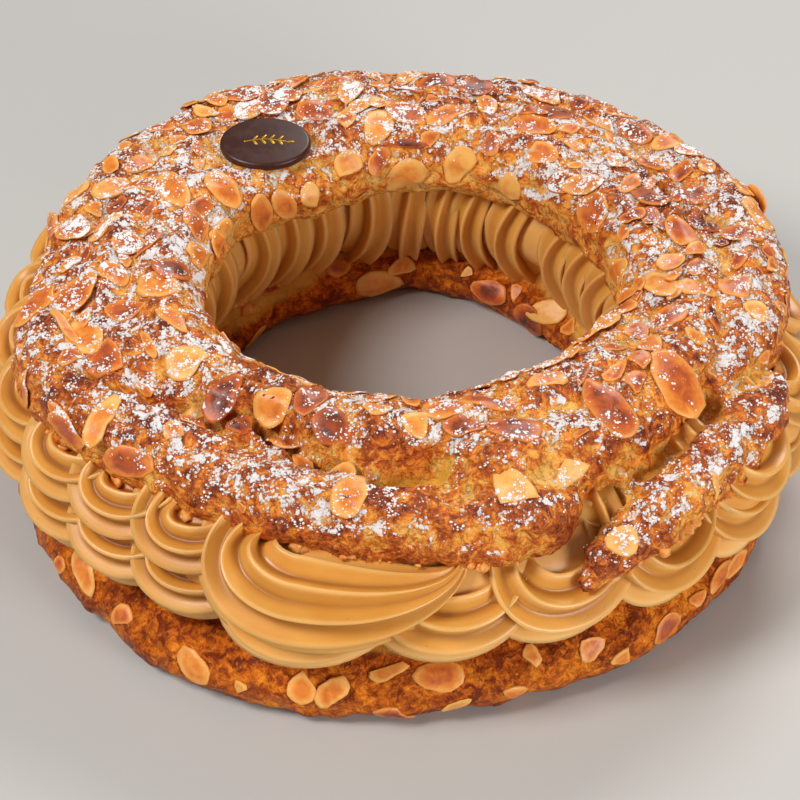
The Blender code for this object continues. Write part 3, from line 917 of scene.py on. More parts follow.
    @staticmethod
    def bare_crumb(points: np.ndarray, normals: np.ndarray) -> np.ndarray:
        """1 where smooth golden crumb lies bare: the flap's inner face, and the window in the front crack."""
        radii = np.maximum(np.hypot(points[:, 0], points[:, 1]), 1 * MM)
        angles = np.degrees(np.arctan2(points[:, 0], -points[:, 1]))
        inwards = -(normals[:, 0] * points[:, 0] + normals[:, 1] * points[:, 1]) / radii
        flap = (angles > 25) & (angles < 67) & (radii > 97 * MM) & (radii < 109 * MM)
        flap = flap * np.clip((inwards - 0.1) / 0.3, 0, 1)
        window = np.clip(1 - np.hypot((angles - 2) / 8.5, (radii - 85.5 * MM) / (5 * MM)), 0, 1) * 3
        return np.maximum(0.45 * flap, np.clip(window, 0, 1))

    @staticmethod
    def dusting(angle: float, radius: float) -> float:
        """How thickly the sugar lies: most at the left, the back and the right."""
        drift = noise.noise(ring_point(angle, 1.0, 3.0) * 2.5 + Vector((0, 0, radius / (12 * MM))))
        sides = 0.82 + 0.2 * bends(((-90, 1, 45), (105, 1, 50), (180, 0.8, 40)), angle)
        return min(max(sides + 0.45 * drift, 0.2), 1.2)


# ---------------------------------------------------------------------------------------------
# Lower crust
# ---------------------------------------------------------------------------------------------


@dataclass
class LowerCrust:
    """The bottom half of the ring, flat on the table, with a lumpy browned side."""

    radius: float = 88.5 * MM
    half_width: float = 27.8 * MM
    half_height: float = 13.5 * MM
    middle: float = 8.5 * MM
    top: float = 20.5 * MM
    outer_bulges: Sequence[Bend] = ((-26, 3.0 * MM, 18), (18, -1.5 * MM, 22), (84, -2.0 * MM, 30))
    hollows: Sequence[Bend] = ((172, 5.0 * MM, 16), (-100, 2.0 * MM, 25))
    steps_round: int = 560
    steps_across: int = 112

    def build(self) -> bpy.types.Object:
        """Makes the crust from a section spun round the ring."""
        shape = bmesh.new()
        section = bmesh.ops.create_circle(shape, cap_ends=False, segments=self.steps_across, radius=1)["verts"]
        for vertex in section:
            side = vertex.co.copy()
            height = self.middle + side.y * self.half_height
            vertex.co = ring_point(0, self.radius + side.x * self.half_width, height)
        edges = list(shape.edges)
        bmesh.ops.spin(
            shape, geom=section + edges, cent=(0, 0, 0), axis=(0, 0, 1), angle=math.tau,
            steps=self.steps_round, use_merge=True,
        )
        bmesh.ops.remove_doubles(shape, verts=shape.verts, dist=0.01 * MM)
        item = new_object("base_crust", closed_mesh(shape))
        self.roughen(item.data)
        self.tone(item.data)
        return item

    def rim(self, angle: float, radius: float) -> float:
        """Height of the crust's cut upper face, wavy along the hole."""
        inner = 1 - rise(61 * MM, 72 * MM, radius)
        return self.top + inner * 4.5 * MM * math.sin(math.radians(3 * angle - 45))

    def roughen(self, mesh: bpy.types.Mesh) -> None:
        """Bulges and wrinkles the crust, and cuts it off level above and on the table."""
        points = points_of(mesh)
        normals = normals_of(mesh)
        for index, point in enumerate(map(Vector, points)):
            angle, radius = ring_place(point)
            outer = rise(self.radius, self.radius + self.half_width, radius)
            inner = 1 - rise(self.radius - self.half_width, self.radius, radius)
            swell = outer * bends(self.outer_bulges, angle) + inner * bends(self.hollows, angle)
            run = Vector((math.radians(angle) * radius / 2.2, radius, point.z))
            lump = noise.fractal(point / (15 * MM), 0.9, 2.0, 2) * 1.8 * MM
            wrinkle = (abs(noise.noise(run / (6 * MM))) - 0.25) * -1.8 * MM
            blister = noise.fractal(point / (3.2 * MM), 1.0, 2.1, 2) * 0.45 * MM
            moved = ring_point(angle, radius + swell, point.z) + Vector(normals[index]) * (lump + wrinkle + blister)
            moved.z = min(max(moved.z, 0.0), self.rim(angle, radius) + 0.4 * MM * noise.noise(point / (3 * MM)))
            points[index] = moved
        set_points(mesh, points)

    def tone(self, mesh: bpy.types.Mesh) -> None:
        """Stores how browned and how torn each point is."""
        points = points_of(mesh)
        normals = normals_of(mesh)
        broad = bulge_of(mesh, 60)
        close = bulge_of(mesh, 8)
        bake = 0.52 + np.clip(broad / (2.5 * MM), -0.5, 0.5) * 0.5 + np.clip(close / (0.5 * MM), -1, 1) * 0.12
        bake += 0.14 * np.clip(1 - points[:, 2] / (5 * MM), 0, 1)
        height = np.array([self.rim(*ring_place(point)) for point in map(Vector, points)])
        inside = np.hypot(points[:, 0], points[:, 1]) < 72 * MM
        torn = np.where(inside, 6 * MM, 1.8 * MM)
        crumb = np.clip(1.2 - (height - points[:, 2]) / torn, 0, 1) * 0.8
        crumb = np.maximum(crumb, np.clip(-broad / (3.5 * MM), 0, 1) * 0.7)
        set_tone(mesh, "bake", evened(mesh, bake, 2))
        set_tone(mesh, "crumb", evened(mesh, crumb, 2))
        set_tone(mesh, "dusting", 0.10 * np.clip(normals[:, 2], 0, 1))


# ---------------------------------------------------------------------------------------------
# Cream
# ---------------------------------------------------------------------------------------------


@dataclass(frozen=True)
class Swag:
    """One U of piped rope on the cream's outer side.

    Its left arm stands proud, because it is laid over the swag before it.
    """

    centre: float
    left: float
    right: float
    low: float
    high: float
    reach: float
    tuck: float
    thickness: float
    end_tuck: float | None = None
    end_high: float | None = None
    lap: float = 8 * MM
    start: float = 0.75
    end: float = 0.62
    twist: float = 25.0
    steps: int = 38

    def rope(self, shape: bmesh.types.BMesh, section: Section, bulges: Sequence[Bend]) -> None:
        """Adds the rope to a bmesh.

        Args:
            shape: The bmesh.
            section: The rope's outline.
            bulges: Where the filling swells out of the ring.
        """
        spine = []
        radii = []
        for step in range(self.steps + 1):
            share = step / self.steps
            before = share < 0.5
            hang = math.sin(math.pi * share) ** (0.75 if before else 1.15)
            out = math.sin(math.pi * share) ** 0.6
            tuck = self.tuck if before or self.end_tuck is None else self.end_tuck
            high = self.high if before or self.end_high is None else self.end_high
            angle = self.centre - (self.left if before else self.right) * math.cos(math.pi * share)
            radius = blend(tuck, self.reach, out) + bends(bulges, angle) + (0.5 - share) * self.lap
            spine.append(ring_point(angle, radius, blend(high, self.low, hang)))
            girth = blend(self.start, 1.0, rise(0, 0.35, share)) * blend(1.0, self.end, rise(0.5, 1, share))
            radii.append(self.thickness * girth)
        sweep(shape, spine, radii, section, twist=self.twist)


@dataclass
class Filling:
    """The praline cream: a plain core behind rows of piped swags."""

    radius: float = 87 * MM
    half_width: float = 24 * MM
    half_height: float = 17.5 * MM
    middle: float = 35 * MM
    bulges: Sequence[Bend] = ((-78, 3.0 * MM, 24), (76, 3.0 * MM, 22), (180, 1.5 * MM, 30))
    pitch: float = 12.5
    double_rows_from: float = -31
    double_row_swags: int = 20
    row_radius: float = 10.5 * MM
    inner_ropes: int = 28
    # The bigger swags of the single row in front.
    front: Sequence[Swag] = field(
        default_factory=lambda: (
            Swag(-14, 9.0, 13, 30 * MM, 42 * MM, 110 * MM, 92 * MM, 11.0 * MM),
            Swag(7, 9.5, 12, 33 * MM, 46 * MM, 106 * MM, 88 * MM, 12.5 * MM, lap=3 * MM),
            Swag(23, 9.5, 12, 34 * MM, 49 * MM, 106.5 * MM, 88 * MM, 12.5 * MM, lap=5 * MM),
            Swag(40, 8.5, 12, 33 * MM, 49 * MM, 108.5 * MM, 88 * MM, 12.0 * MM),
            Swag(55.5, 8.5, 12, 31.5 * MM, 46 * MM, 109 * MM, 88 * MM, 12.0 * MM),
            Swag(70, 8.5, 10, 31 * MM, 44 * MM, 107 * MM, 90 * MM, 11.5 * MM),
            Swag(58, 7.5, 9, 43 * MM, 54 * MM, 110.5 * MM, 90 * MM, 11.0 * MM),
            Swag(74, 7.5, 9, 43 * MM, 54 * MM, 109 * MM, 90 * MM, 10.5 * MM),
            Swag(21, 7, 9, 43 * MM, 52 * MM, 96 * MM, 84 * MM, 9 * MM),
            Swag(33, 7, 9, 44 * MM, 53 * MM, 95 * MM, 84 * MM, 9 * MM),
            Swag(45, 7, 9, 45 * MM, 54 * MM, 94 * MM, 84 * MM, 9 * MM),
        )
    )

    def finished(self, name: str, shape: bmesh.types.BMesh) -> bpy.types.Object:
        """Makes a piece of cream, with how ridged each point is and how much painted light its low outer face gets
        stored on it.
        """
        item = new_object(name, closed_mesh(shape))
        mesh = item.data
        points = points_of(mesh)
        # The pale tone is painted light: it lightens the low outer faces of the cream.
        low = 1 - np.clip((points[:, 2] - 22 * MM) / (13 * MM), 0, 1)
        outer = np.hypot(points[:, 0], points[:, 1]) > self.radius
        set_tone(mesh, "ridge", np.clip(bulge_of(mesh, 10) / (0.7 * MM), -1, 1))
        set_tone(mesh, "pale", low * outer)
        return item

    def swirl_star(self) -> Section:
        """The wide star nozzle's outline."""
        return Section(90, 9, 0.33)

    def build_core(self) -> bpy.types.Object:
        """The cream behind the ropes."""
        shape = bmesh.new()
        section = bmesh.ops.create_circle(shape, cap_ends=False, segments=36, radius=1)["verts"]
        for vertex in section:
            out, up = vertex.co.x * self.half_width, vertex.co.y * self.half_height
            vertex.co = ring_point(0, self.radius + out, self.middle + up)
        bmesh.ops.spin(
            shape, geom=section + shape.edges[:], cent=(0, 0, 0), axis=(0, 0, 1), angle=math.tau, steps=90,
            use_merge=True,
        )
        bmesh.ops.remove_doubles(shape, verts=shape.verts, dist=0.01 * MM)
        return self.finished("cream_core", shape)

    def build_front(self) -> bpy.types.Object:
        """The front row, with its giant swirl that tapers away over its neighbours."""
        shape = bmesh.new()
        for swag in reversed(self.front):
            swag.rope(shape, self.swirl_star(), self.bulges)
        giant = Swag(
            -14.5, 10.5, 23, 40 * MM, 51 * MM, 109 * MM, 90 * MM, 14.5 * MM, 102.5 * MM, 50.5 * MM, lap=0.0, end=0.12,
            twist=25, steps=70,
        )
        giant.rope(shape, Section(120, 10, 0.32), self.bulges)
        return self.finished("cream_front_swags", shape)

    def build_row(self, name: str, lower: bool) -> bpy.types.Object:
        """One of the two rows round the left side and the back."""
        shape = bmesh.new()
        for count in range(self.double_row_swags):
            centre = self.double_rows_from - self.pitch * count + waver(count * 31, 21, 1.5)
            dent = bends(((-37, 4 * MM, 8),), centre)
            reach = 109 * MM - dent + waver(centre, 1, 2.5 * MM)
            thickness = self.row_radius + waver(centre, 17, 1.2 * MM)
            if lower:
                swag = Swag(centre, 7, 10, 31 * MM, 42 * MM, reach, 92 * MM, thickness)
            else:
                drop = waver(centre, 19, 1.5 * MM)
                swag = Swag(centre - 1, 6.5, 10, 43 * MM + drop, 54 * MM, reach - 2.5 * MM, 88 * MM, thickness)
            swag.rope(shape, Section(72, 9, 0.33), self.bulges)
        return self.finished(name, shape)

    def build_inner(self) -> bpy.types.Object:
        """Slanting upright ropes round the hole."""
        shape = bmesh.new()
        for count in range(self.inner_ropes):
            angle = (count + waver(count * 47, 25, 0.7)) * 360 / self.inner_ropes
            side = min(max(2.5 * math.sin(math.radians(angle)), -1.0), 1.0)
            sway = (5.5 + waver(angle, 2, 6)) * side
            lean = waver(angle, 12, 9)
            top = 54 + waver(angle, 13, 3)
            girth = (8.6 + waver(angle, 14, 2.5)) * MM
            spine = []
            radii = []
            for step in range(21):
                share = step / 20
                bow = math.sin(math.pi * share)
                turn = angle + lean * (share - 0.5) + sway * bow
                spine.append(ring_point(turn, blend(74, 66.0, bow**0.7) * MM, blend(17, top, share) * MM))
                radii.append(girth * blend(0.8, 1.0, bow))
            sweep(shape, spine, radii, Section(70, 7, 0.36), twist=40)
        return self.finished("cream_inner_ropes", shape)


# ---------------------------------------------------------------------------------------------
# Almonds and sugar
# ---------------------------------------------------------------------------------------------


class Cut(Enum):
    """How whole a flake is."""

    WHOLE = 0
    SPLIT = 1
    SHARD = 2


# A flake that stands out: (angle, radius, height, spin, length, width, toast, cut), in degrees and millimetres.
Chosen = tuple[float, float, float, float, float, float, float, Cut]


@dataclass(frozen=True)
class Flake:
    """One almond slice before it is laid: an egg-shaped thin plate, whole or broken."""

    length: float
    width: float
    cut: Cut
    seed: int
    thickness: float = 0.55 * MM
    corners: int = 18
    rings: Sequence[float] = (0.88, 0.5)
    rim_share: float = 0.1

    def shape(self) -> tuple[np.ndarray, list[list[int]], np.ndarray]:
        """Makes the flake lying flat.

        Returns:
            Its points, its faces, and for each point 0 at the rim to 1 in the middle.
        """
        plate = bmesh.new()
        outline = bmesh.ops.create_circle(plate, cap_ends=True, segments=self.corners, radius=1)["verts"]
        for vertex, corner in zip(outline, self.outline()):
            vertex.co = corner
        heart = sum((vertex.co for vertex in outline), Vector()) / len(outline)
        depth = plate.verts.layers.float.new("depth")
        inner = plate.faces[:][0]
        reach = 1.0
        for share in self.rings:
            bmesh.ops.inset_region(plate, faces=[inner], thickness=0, use_boundary=True)
            for vertex in inner.verts:
                vertex.co = heart + (vertex.co - heart) * share / reach
                vertex[depth] = 1 - share
            reach = share
        bmesh.ops.poke(plate, faces=[inner])
        for vertex in plate.verts:
            if (vertex.co - heart).length < 0.01 * MM:
                vertex[depth] = 1.0
        top = {vertex: vertex[depth] for vertex in plate.verts}
        below = bmesh.ops.extrude_face_region(plate, geom=plate.faces[:], use_keep_orig=True)["geom"]
        lower = [part for part in below if isinstance(part, bmesh.types.BMVert)]
        for vertex in lower:
            vertex.co.z -= self.thickness
            vertex[depth] = min(vertex[depth], self.rim_share)
        for vertex in top:
            vertex.co.z += 0.2 * self.thickness * (top[vertex] > 0)
        bmesh.ops.recalc_face_normals(plate, faces=plate.faces)
        plate.verts.index_update()
        points = np.array([vertex.co[:] for vertex in plate.verts])
        inward = np.array([vertex[depth] for vertex in plate.verts])
        faces = [[vertex.index for vertex in each.verts] for each in plate.faces]
        plate.free()
        return points - np.array(heart), faces, inward

    def outline(self) -> list[Vector]:
        """The rim's corners: an egg, with up to two pieces snapped off straight."""
        draw = random.Random(self.seed)
        snaps = []
        for _ in range(self.cut.value):
            snaps.append((draw.uniform(0, math.tau), self.width * draw.uniform(0.08, 0.32)))
        corners = []
        for index in range(self.corners):
            turn = math.tau * index / self.corners
            taper = 1 - 0.2 * math.cos(turn)
            corner = Vector((math.cos(turn) * self.length / 2, math.sin(turn) * taper * self.width / 2, 0))
            corner *= 1 + draw.uniform(-0.05, 0.05)
            for way, reach in snaps:
                out = corner.dot(Vector((math.cos(way), math.sin(way), 0)))
                if out > reach:
                    corner *= reach / out * draw.uniform(0.93, 1.04)
            corners.append(corner)
        return corners


class Ground:
    """A crust's surface, on which flakes and sugar are laid."""

    def __init__(self, item: bpy.types.Object) -> None:
        mesh = item.data
        self.points = points_of(mesh)
        self.smooth = evened(mesh, normals_of(mesh), 12)
        self.tree = BVHTree.FromPolygons(
            [Vector(point) for point in self.points], [tuple(face.vertices) for face in mesh.polygons]
        )
        self.corner = [face.vertices[0] for face in mesh.polygons]

    def hit(self, start: Vector, towards: Vector) -> tuple[Vector, Vector] | None:
        """Where a ray meets the crust, and the way the crust faces there."""
        place, _, index, _ = self.tree.ray_cast(start, towards)
        if place is None:
            return None
        return place, Vector(self.smooth[self.corner[index]]).normalized()


@dataclass
class Almonds:
    """Flaked almonds baked onto a crust."""

    name: str
    ground: Ground
    seed: int
    lift: float = 0.25 * MM
    conform: float = 0.8
    most_bend: float = 1.8 * MM
    heap: Heap = field(default_factory=Heap)
    laid: list[Vector] = field(default_factory=list)
    kinds: list = field(default_factory=list)

    def __post_init__(self) -> None:
        draw = random.Random(self.seed)
        for cut, count in ((Cut.WHOLE, 8), (Cut.SPLIT, 6), (Cut.SHARD, 5)):
            for _ in range(count):
                flake = Flake(draw.uniform(17, 23) * MM, draw.uniform(10.5, 13.5) * MM, cut, draw.randrange(10**6))
                self.kinds.append((cut, flake.shape()))

    def lay(
        self,
        place: Vector,
        facing: Vector,
        spin: float,
        toast: float,
        size: float = 1.0,
        tilt: float = 0.0,
        cut: Cut | None = None,
        dusting: float = 0.5,
        draw: random.Random | None = None,
        shape: tuple | None = None,
    ) -> None:
        """Lays one flake on the crust.

        Args:
            place: Where its middle touches.
            facing: The way the crust faces there.
            spin: Its turn on the crust, in degrees from the way round the ring.
            toast: How dark it is, from 0 to 1.
            size: Its size against the usual.
            tilt: How far it stands up from the crust at one end, in degrees.
            cut: How whole it is; any when left out.
            dusting: How much sugar lies on it.
            draw: Where chance comes from.
            shape: The flake itself; one of the usual kinds when left out.
        """
        draw = draw or random.Random(len(self.laid) + self.seed)
        kinds = [kind for kind in self.kinds if cut is None or kind[0] is cut]
        points, faces, rim = shape or draw.choice(kinds)[1]
        along = Vector((-place.y, place.x, 0)).normalized()
        along = (along - facing * along.dot(facing)).normalized()
        across = facing.cross(along)
        turn = Matrix.Rotation(math.radians(spin), 3, facing)
        lean = Matrix.Rotation(math.radians(tilt), 3, (turn @ across).normalized())
        cup = draw.uniform(-0.5, 1.0) * 12
        near = sum((place - other).length < 9 * MM for other in self.laid)
        heaped = min(near * 0.3 + draw.uniform(0, 0.3), 1.2) * MM
        moved = []
        gaps = []
        for point in points * size:
            flat = turn @ (along * point[0] + across * point[1])
            sag = cup * (point[1] ** 2 - 0.3 * point[0] ** 2)
            spot = place + lean @ (flat + facing * (point[2] + sag))
            found = self.ground.tree.ray_cast(spot + facing * 12 * MM, -facing, 24 * MM)[0]
            if found is not None:
                above = (spot - found).dot(facing) - point[2]
                drop = min(max(above, -self.most_bend), self.most_bend) * self.conform
                spot -= facing * drop
                gaps.append(above - drop)
            moved.append(spot)
        rest = -float(np.quantile(gaps, 0.2)) if gaps else 0.0
        lifted = facing * (min(max(rest, -1 * MM), 2.5 * MM) + self.lift + heaped)
        moved = [spot + lifted for spot in moved]
        count = len(points)
        self.heap.add(
            np.array(moved), faces, toast=np.full(count, toast), rim=rim, dusting=np.full(count, dusting)
        )
        self.laid.append(place)

    def place_chosen(self, chosen: Chosen, dusting: float) -> None:
        """Lays a flake of its own size on the crust nearest to its place."""
        angle, radius, height, spin, length, width, toast, cut = chosen
        place, _, index, _ = self.ground.tree.find_nearest(ring_point(angle, radius * MM, height * MM))
        facing = Vector(self.ground.smooth[self.ground.corner[index]]).normalized()
        shape = Flake(length * MM, width * MM, cut, self.seed + len(self.laid)).shape()
        self.lay(place, facing, spin, toast, dusting=dusting, shape=shape)

    def build(self) -> bpy.types.Object:
        """Makes the piece."""
        return self.heap.build(self.name)


@dataclass(frozen=True)
class LidAlmondPlan:
    """Where flakes lie on the lid: thick round the left, the back and the right, few in front."""

    seed: int = 11
    tries: int = 1500
    slivers: float = 0.35
    left: Sequence[Chosen] = (
        (-80, 92, 65, 130, 17, 11, 0.72, Cut.WHOLE),
        (-80, 104, 64, 140, 17, 9, 0.70, Cut.WHOLE),
        (-75, 70, 72, 65, 13, 10, 0.45, Cut.WHOLE),
        (-81, 65, 72, 105, 13, 10, 0.95, Cut.WHOLE),
        (-95, 58, 65, 95, 16, 9, 0.50, Cut.SPLIT),
        (-113, 73, 72, 50, 18, 9, 0.50, Cut.WHOLE),
        (-121, 61, 70, 85, 14, 9, 0.50, Cut.WHOLE),
        (-111, 92, 69, 160, 15, 8, 0.35, Cut.WHOLE),
        (-109, 103, 66, 160, 14, 8, 0.30, Cut.SPLIT),
        (-71, 80, 69, 55, 15, 8, 0.80, Cut.SPLIT),
        (-62, 70, 73, 20, 16, 6, 0.50, Cut.SPLIT),
        (-62, 89, 67, 100, 18, 11, 0.85, Cut.SPLIT),
        (-50, 75, 70, 35, 14, 11, 0.25, Cut.SPLIT),
        (-38, 77, 69, 85, 15, 8, 1.00, Cut.WHOLE),
        (-66, 60, 68, 55, 9, 7, 0.95, Cut.SHARD),
        (-50, 103, 66, 115, 17, 10, 0.40, Cut.SPLIT),
        (-63, 100, 68, 150, 10, 7, 0.75, Cut.SPLIT),
        (-43, 105, 60, 20, 16, 9, 0.80, Cut.WHOLE),
        (-32, 80, 66, 75, 9, 7, 0.95, Cut.SPLIT),
    )
    front: Sequence[Chosen] = (
        (-27, 75, 71, 60, 12, 10, 0.42, Cut.WHOLE),
        (-13, 76, 71, 20, 17, 11, 0.95, Cut.SPLIT),
        (-8, 94, 65, 75, 14, 9, 0.40, Cut.WHOLE),
        (-23, 102, 61, 135, 8, 3, 0.60, Cut.SHARD),
        (10, 70, 72, 0, 14, 8, 0.65, Cut.WHOLE),
        (3, 74, 71, 155, 10, 8, 0.35, Cut.SPLIT),
        (12, 77, 71, 160, 11, 7, 0.90, Cut.SPLIT),
        (19, 69, 71, 165, 17, 8, 0.85, Cut.SPLIT),
        (21, 81, 71, 150, 15, 10, 0.90, Cut.WHOLE),
        (33, 70, 72, 170, 12, 8, 0.50, Cut.SPLIT),
        (17, 97, 66, 100, 17, 10, 0.15, Cut.SPLIT),
        (27, 95, 65, 0, 14, 9, 0.10, Cut.SHARD),
        (32, 89, 70, 175, 8, 3, 0.70, Cut.SHARD),
        (30, 113, 53, 160, 9, 8, 0.15, Cut.WHOLE),
        (46, 113, 53, 35, 12, 7, 0.10, Cut.SHARD),
    )
    right: Sequence[Chosen] = (
        (53, 92, 70, 70, 22, 14, 0.66, Cut.WHOLE),
        (39, 86, 71, 85, 21, 10, 0.82, Cut.WHOLE),
        (64, 89, 71, 80, 11, 6, 0.42, Cut.SHARD),
        (71, 105, 60, 15, 8, 5, 0.50, Cut.SPLIT),
        (76, 101, 68, 125, 9, 8, 0.30, Cut.SPLIT),
        (102, 106, 66, 10, 16, 8, 0.40, Cut.WHOLE),
        (94, 110, 60, 10, 12, 7, 0.45, Cut.WHOLE),
        (110, 91, 68, 70, 13, 8, 0.85, Cut.WHOLE),
        (100, 89, 69, 125, 16, 9, 1.00, Cut.SPLIT),
        (113, 62, 66, 160, 14, 11, 0.72, Cut.WHOLE),
        (131, 95, 69, 0, 14, 7, 0.90, Cut.WHOLE),
    )
    back: Sequence[Chosen] = (
        (140, 65, 70, 10, 15, 8, 0.60, Cut.SPLIT),
        (144, 57, 59, 100, 16, 8, 0.12, Cut.SHARD),
        (154, 62, 69, 145, 10, 8, 0.75, Cut.SPLIT),
        (162, 57, 62, 65, 13, 10, 0.22, Cut.SPLIT),
        (168, 69, 71, 35, 17, 10, 0.60, Cut.SPLIT),
        (165, 91, 69, 40, 13, 9, 1.00, Cut.WHOLE),
        (173, 90, 69, 20, 13, 8, 0.95, Cut.WHOLE),
        (144, 95, 69, 5, 8, 5, 1.00, Cut.SPLIT),
        (178, 96, 67, 50, 13, 8, 0.40, Cut.WHOLE),
        (179, 56, 58, 30, 16, 10, 0.30, Cut.WHOLE),
        (-173, 63, 70, 65, 14, 9, 0.40, Cut.WHOLE),
        (-162, 53, 65, 70, 10, 9, 0.35, Cut.SPLIT),
        (-159, 76, 70, 150, 12, 8, 0.85, Cut.WHOLE),
        (-166, 92, 69, 10, 13, 7, 0.65, Cut.SPLIT),
        (-138, 53, 58, 115, 13, 7, 0.50, Cut.WHOLE),
        (-129, 54, 58, 100, 16, 7, 0.55, Cut.WHOLE),
        (-147, 50, 60, 165, 10, 8, 0.18, Cut.SHARD),
        (-131, 98, 69, 130, 9, 6, 0.75, Cut.SPLIT),
    )

    def crowding(self, angle: float, radius: float) -> float:
        """How likely a flake is to land at a place, from 0 to 1."""
        front = bends(((-14, 1.0, 40),), angle)
        on_front_strand = front * rise(84 * MM, 90 * MM, radius)
        on_flap = rise(6, 14, angle) * (1 - rise(70, 78, angle)) * rise(90 * MM, 95 * MM, radius)
        by_window = bends(((1, 1.0, 14),), angle) * rise(76 * MM, 80 * MM, radius)
        return max(0.0, 0.95 - 0.95 * on_front_strand - 0.97 * on_flap - by_window - 0.35 * front)

    def scatter(self, ground: Ground, lid: Lid) -> Almonds:
        """Lays the lid's flakes."""
        almonds = Almonds("lid_almonds", ground, self.seed)
        for chosen in (*self.left, *self.front, *self.right, *self.back):
            almonds.place_chosen(chosen, dusting=0.65 * Lid.dusting(*chosen[:2]))
        standing = len(almonds.laid)
        draw = random.Random(self.seed)
        low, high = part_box("chocolate_plaque")
        plaque = (Vector(low).xy + Vector(high).xy) / 2
        for _ in range(self.tries):
            angle = draw.uniform(-180, 180)
            slope = draw.uniform(-75, 80)
            radius, height, _ = lid.crest_place(angle)
            heart = ring_point(angle, radius, height - 4 * MM)
            outward = ring_point(angle, 1, 0)
            way = outward * math.sin(math.radians(slope)) + Vector((0, 0, 1)) * math.cos(math.radians(slope))
            found = ground.hit(heart + way * 50 * MM, -way)
            if not found or draw.random() > self.crowding(angle, ring_place(found[0])[1]):
                continue
            place, facing = found
            apart = min((place - other).length for other in almonds.laid)
            on_chosen = min((place - other).length for other in almonds.laid[:standing]) < 9.5 * MM
            beside_plaque = (place.xy - plaque).length < 19 * MM
            if apart < draw.uniform(4, 11) * MM or place.z < lid.seam + 4 * MM or beside_plaque or on_chosen:
                continue
            toast = min(max(draw.gauss(0.62, 0.2), 0.1), 1.0)
            dusting = Lid.dusting(angle, radius) * draw.choice((0.3, 0.7, 1.1))
            if draw.random() < self.slivers:
                sliver = Flake(draw.uniform(9, 16) * MM, draw.uniform(3, 5) * MM, Cut.SPLIT, draw.randrange(10**6))
                almonds.lay(
                    place, facing, draw.gauss(0, 25), max(toast, 0.5), tilt=draw.gauss(0, 5), dusting=dusting,
                    draw=draw, shape=sliver.shape(),
                )
            else:
                almonds.lay(
                    place, facing, draw.uniform(0, 360), toast, draw.uniform(0.42, 0.8), draw.gauss(4, 10),
                    dusting=dusting, draw=draw,
                )
        return almonds


@dataclass(frozen=True)
class BaseAlmondPlan:
    """Where flakes stick to the lower crust: its outer side and the rim of the hole."""

    seed: int = 23
    outer: int = 66
    inner: int = 20
    front: Sequence[Chosen] = (
        (-13, 116, 13, 70, 10, 8, 0.35, Cut.SPLIT),
        (-9, 116, 13, 55, 11, 8, 0.40, Cut.SPLIT),
        (-2, 111, 17, 165, 15, 8, 0.40, Cut.SHARD),
        (5, 112, 16, 175, 14, 8, 0.55, Cut.WHOLE),
        (-1, 118, 4, 165, 13, 8, 0.85, Cut.SPLIT),
        (-28, 118, 12, 145, 12, 8, 0.45, Cut.WHOLE),
        (-21, 118, 10, 5, 10, 5, 0.30, Cut.SHARD),
        (-41, 116, 13, 105, 9, 8, 0.55, Cut.SPLIT),
        (-55, 117, 12, 60, 10, 5, 0.60, Cut.SPLIT),
        (18, 110, 17, 110, 11, 6, 0.30, Cut.SHARD),
        (15, 115, 9, 5, 9, 6, 0.50, Cut.SPLIT),
        (31, 115, 9, 175, 9, 6, 0.40, Cut.SPLIT),
        (45, 115, 13, 10, 10, 4, 0.50, Cut.SPLIT),
        (51, 114, 12, 5, 14, 5, 0.60, Cut.WHOLE),
        (55, 114, 11, 10, 11, 5, 0.50, Cut.WHOLE),
    )
    rim: Sequence[Chosen] = (
        (-175, 60, 9, 165, 17, 10, 0.35, Cut.WHOLE),
        (178, 62, 15, 20, 10, 8, 0.30, Cut.SPLIT),
        (154, 60, 13, 5, 14, 8, 0.85, Cut.WHOLE),
        (137, 59, 8, 120, 13, 10, 0.95, Cut.WHOLE),
        (131, 60, 17, 35, 15, 8, 0.15, Cut.WHOLE),
    )

    def scatter(self, ground: Ground, base: LowerCrust) -> Almonds:
        """Lays the lower crust's flakes."""
        almonds = Almonds("base_almonds", ground, self.seed)
        for chosen in (*self.front, *self.rim):
            almonds.place_chosen(chosen, dusting=0.0)
        draw = random.Random(self.seed)
        for count, side in ((self.outer, 1), (self.inner, -1)):
            for index in range(count):
                angle = 360 * (index + draw.uniform(-0.4, 0.4)) / count
                slope = draw.uniform(-8, 48)
                outward = ring_point(angle, 1, 0) * side
                way = outward * math.cos(math.radians(slope)) + Vector((0, 0, 1)) * math.sin(math.radians(slope))
                heart = ring_point(angle, base.radius + side * 14 * MM, 8 * MM)
                found = ground.hit(heart + way * 40 * MM, -way)
                if not found or found[0].z > base.top - 1.5 * MM:
                    continue
                if min((found[0] - other).length for other in almonds.laid) < 9 * MM:
                    continue
                toast = min(max(draw.gauss(0.5, 0.22), 0.05), 0.9)
                cut = draw.choice((Cut.SHARD, Cut.SHARD, Cut.SPLIT, Cut.WHOLE))
                almonds.lay(
                    *found, draw.uniform(0, 360), toast, draw.uniform(0.4, 0.75), draw.gauss(9, 12), cut=cut,
                    dusting=0.0, draw=draw,
                )
        return almonds


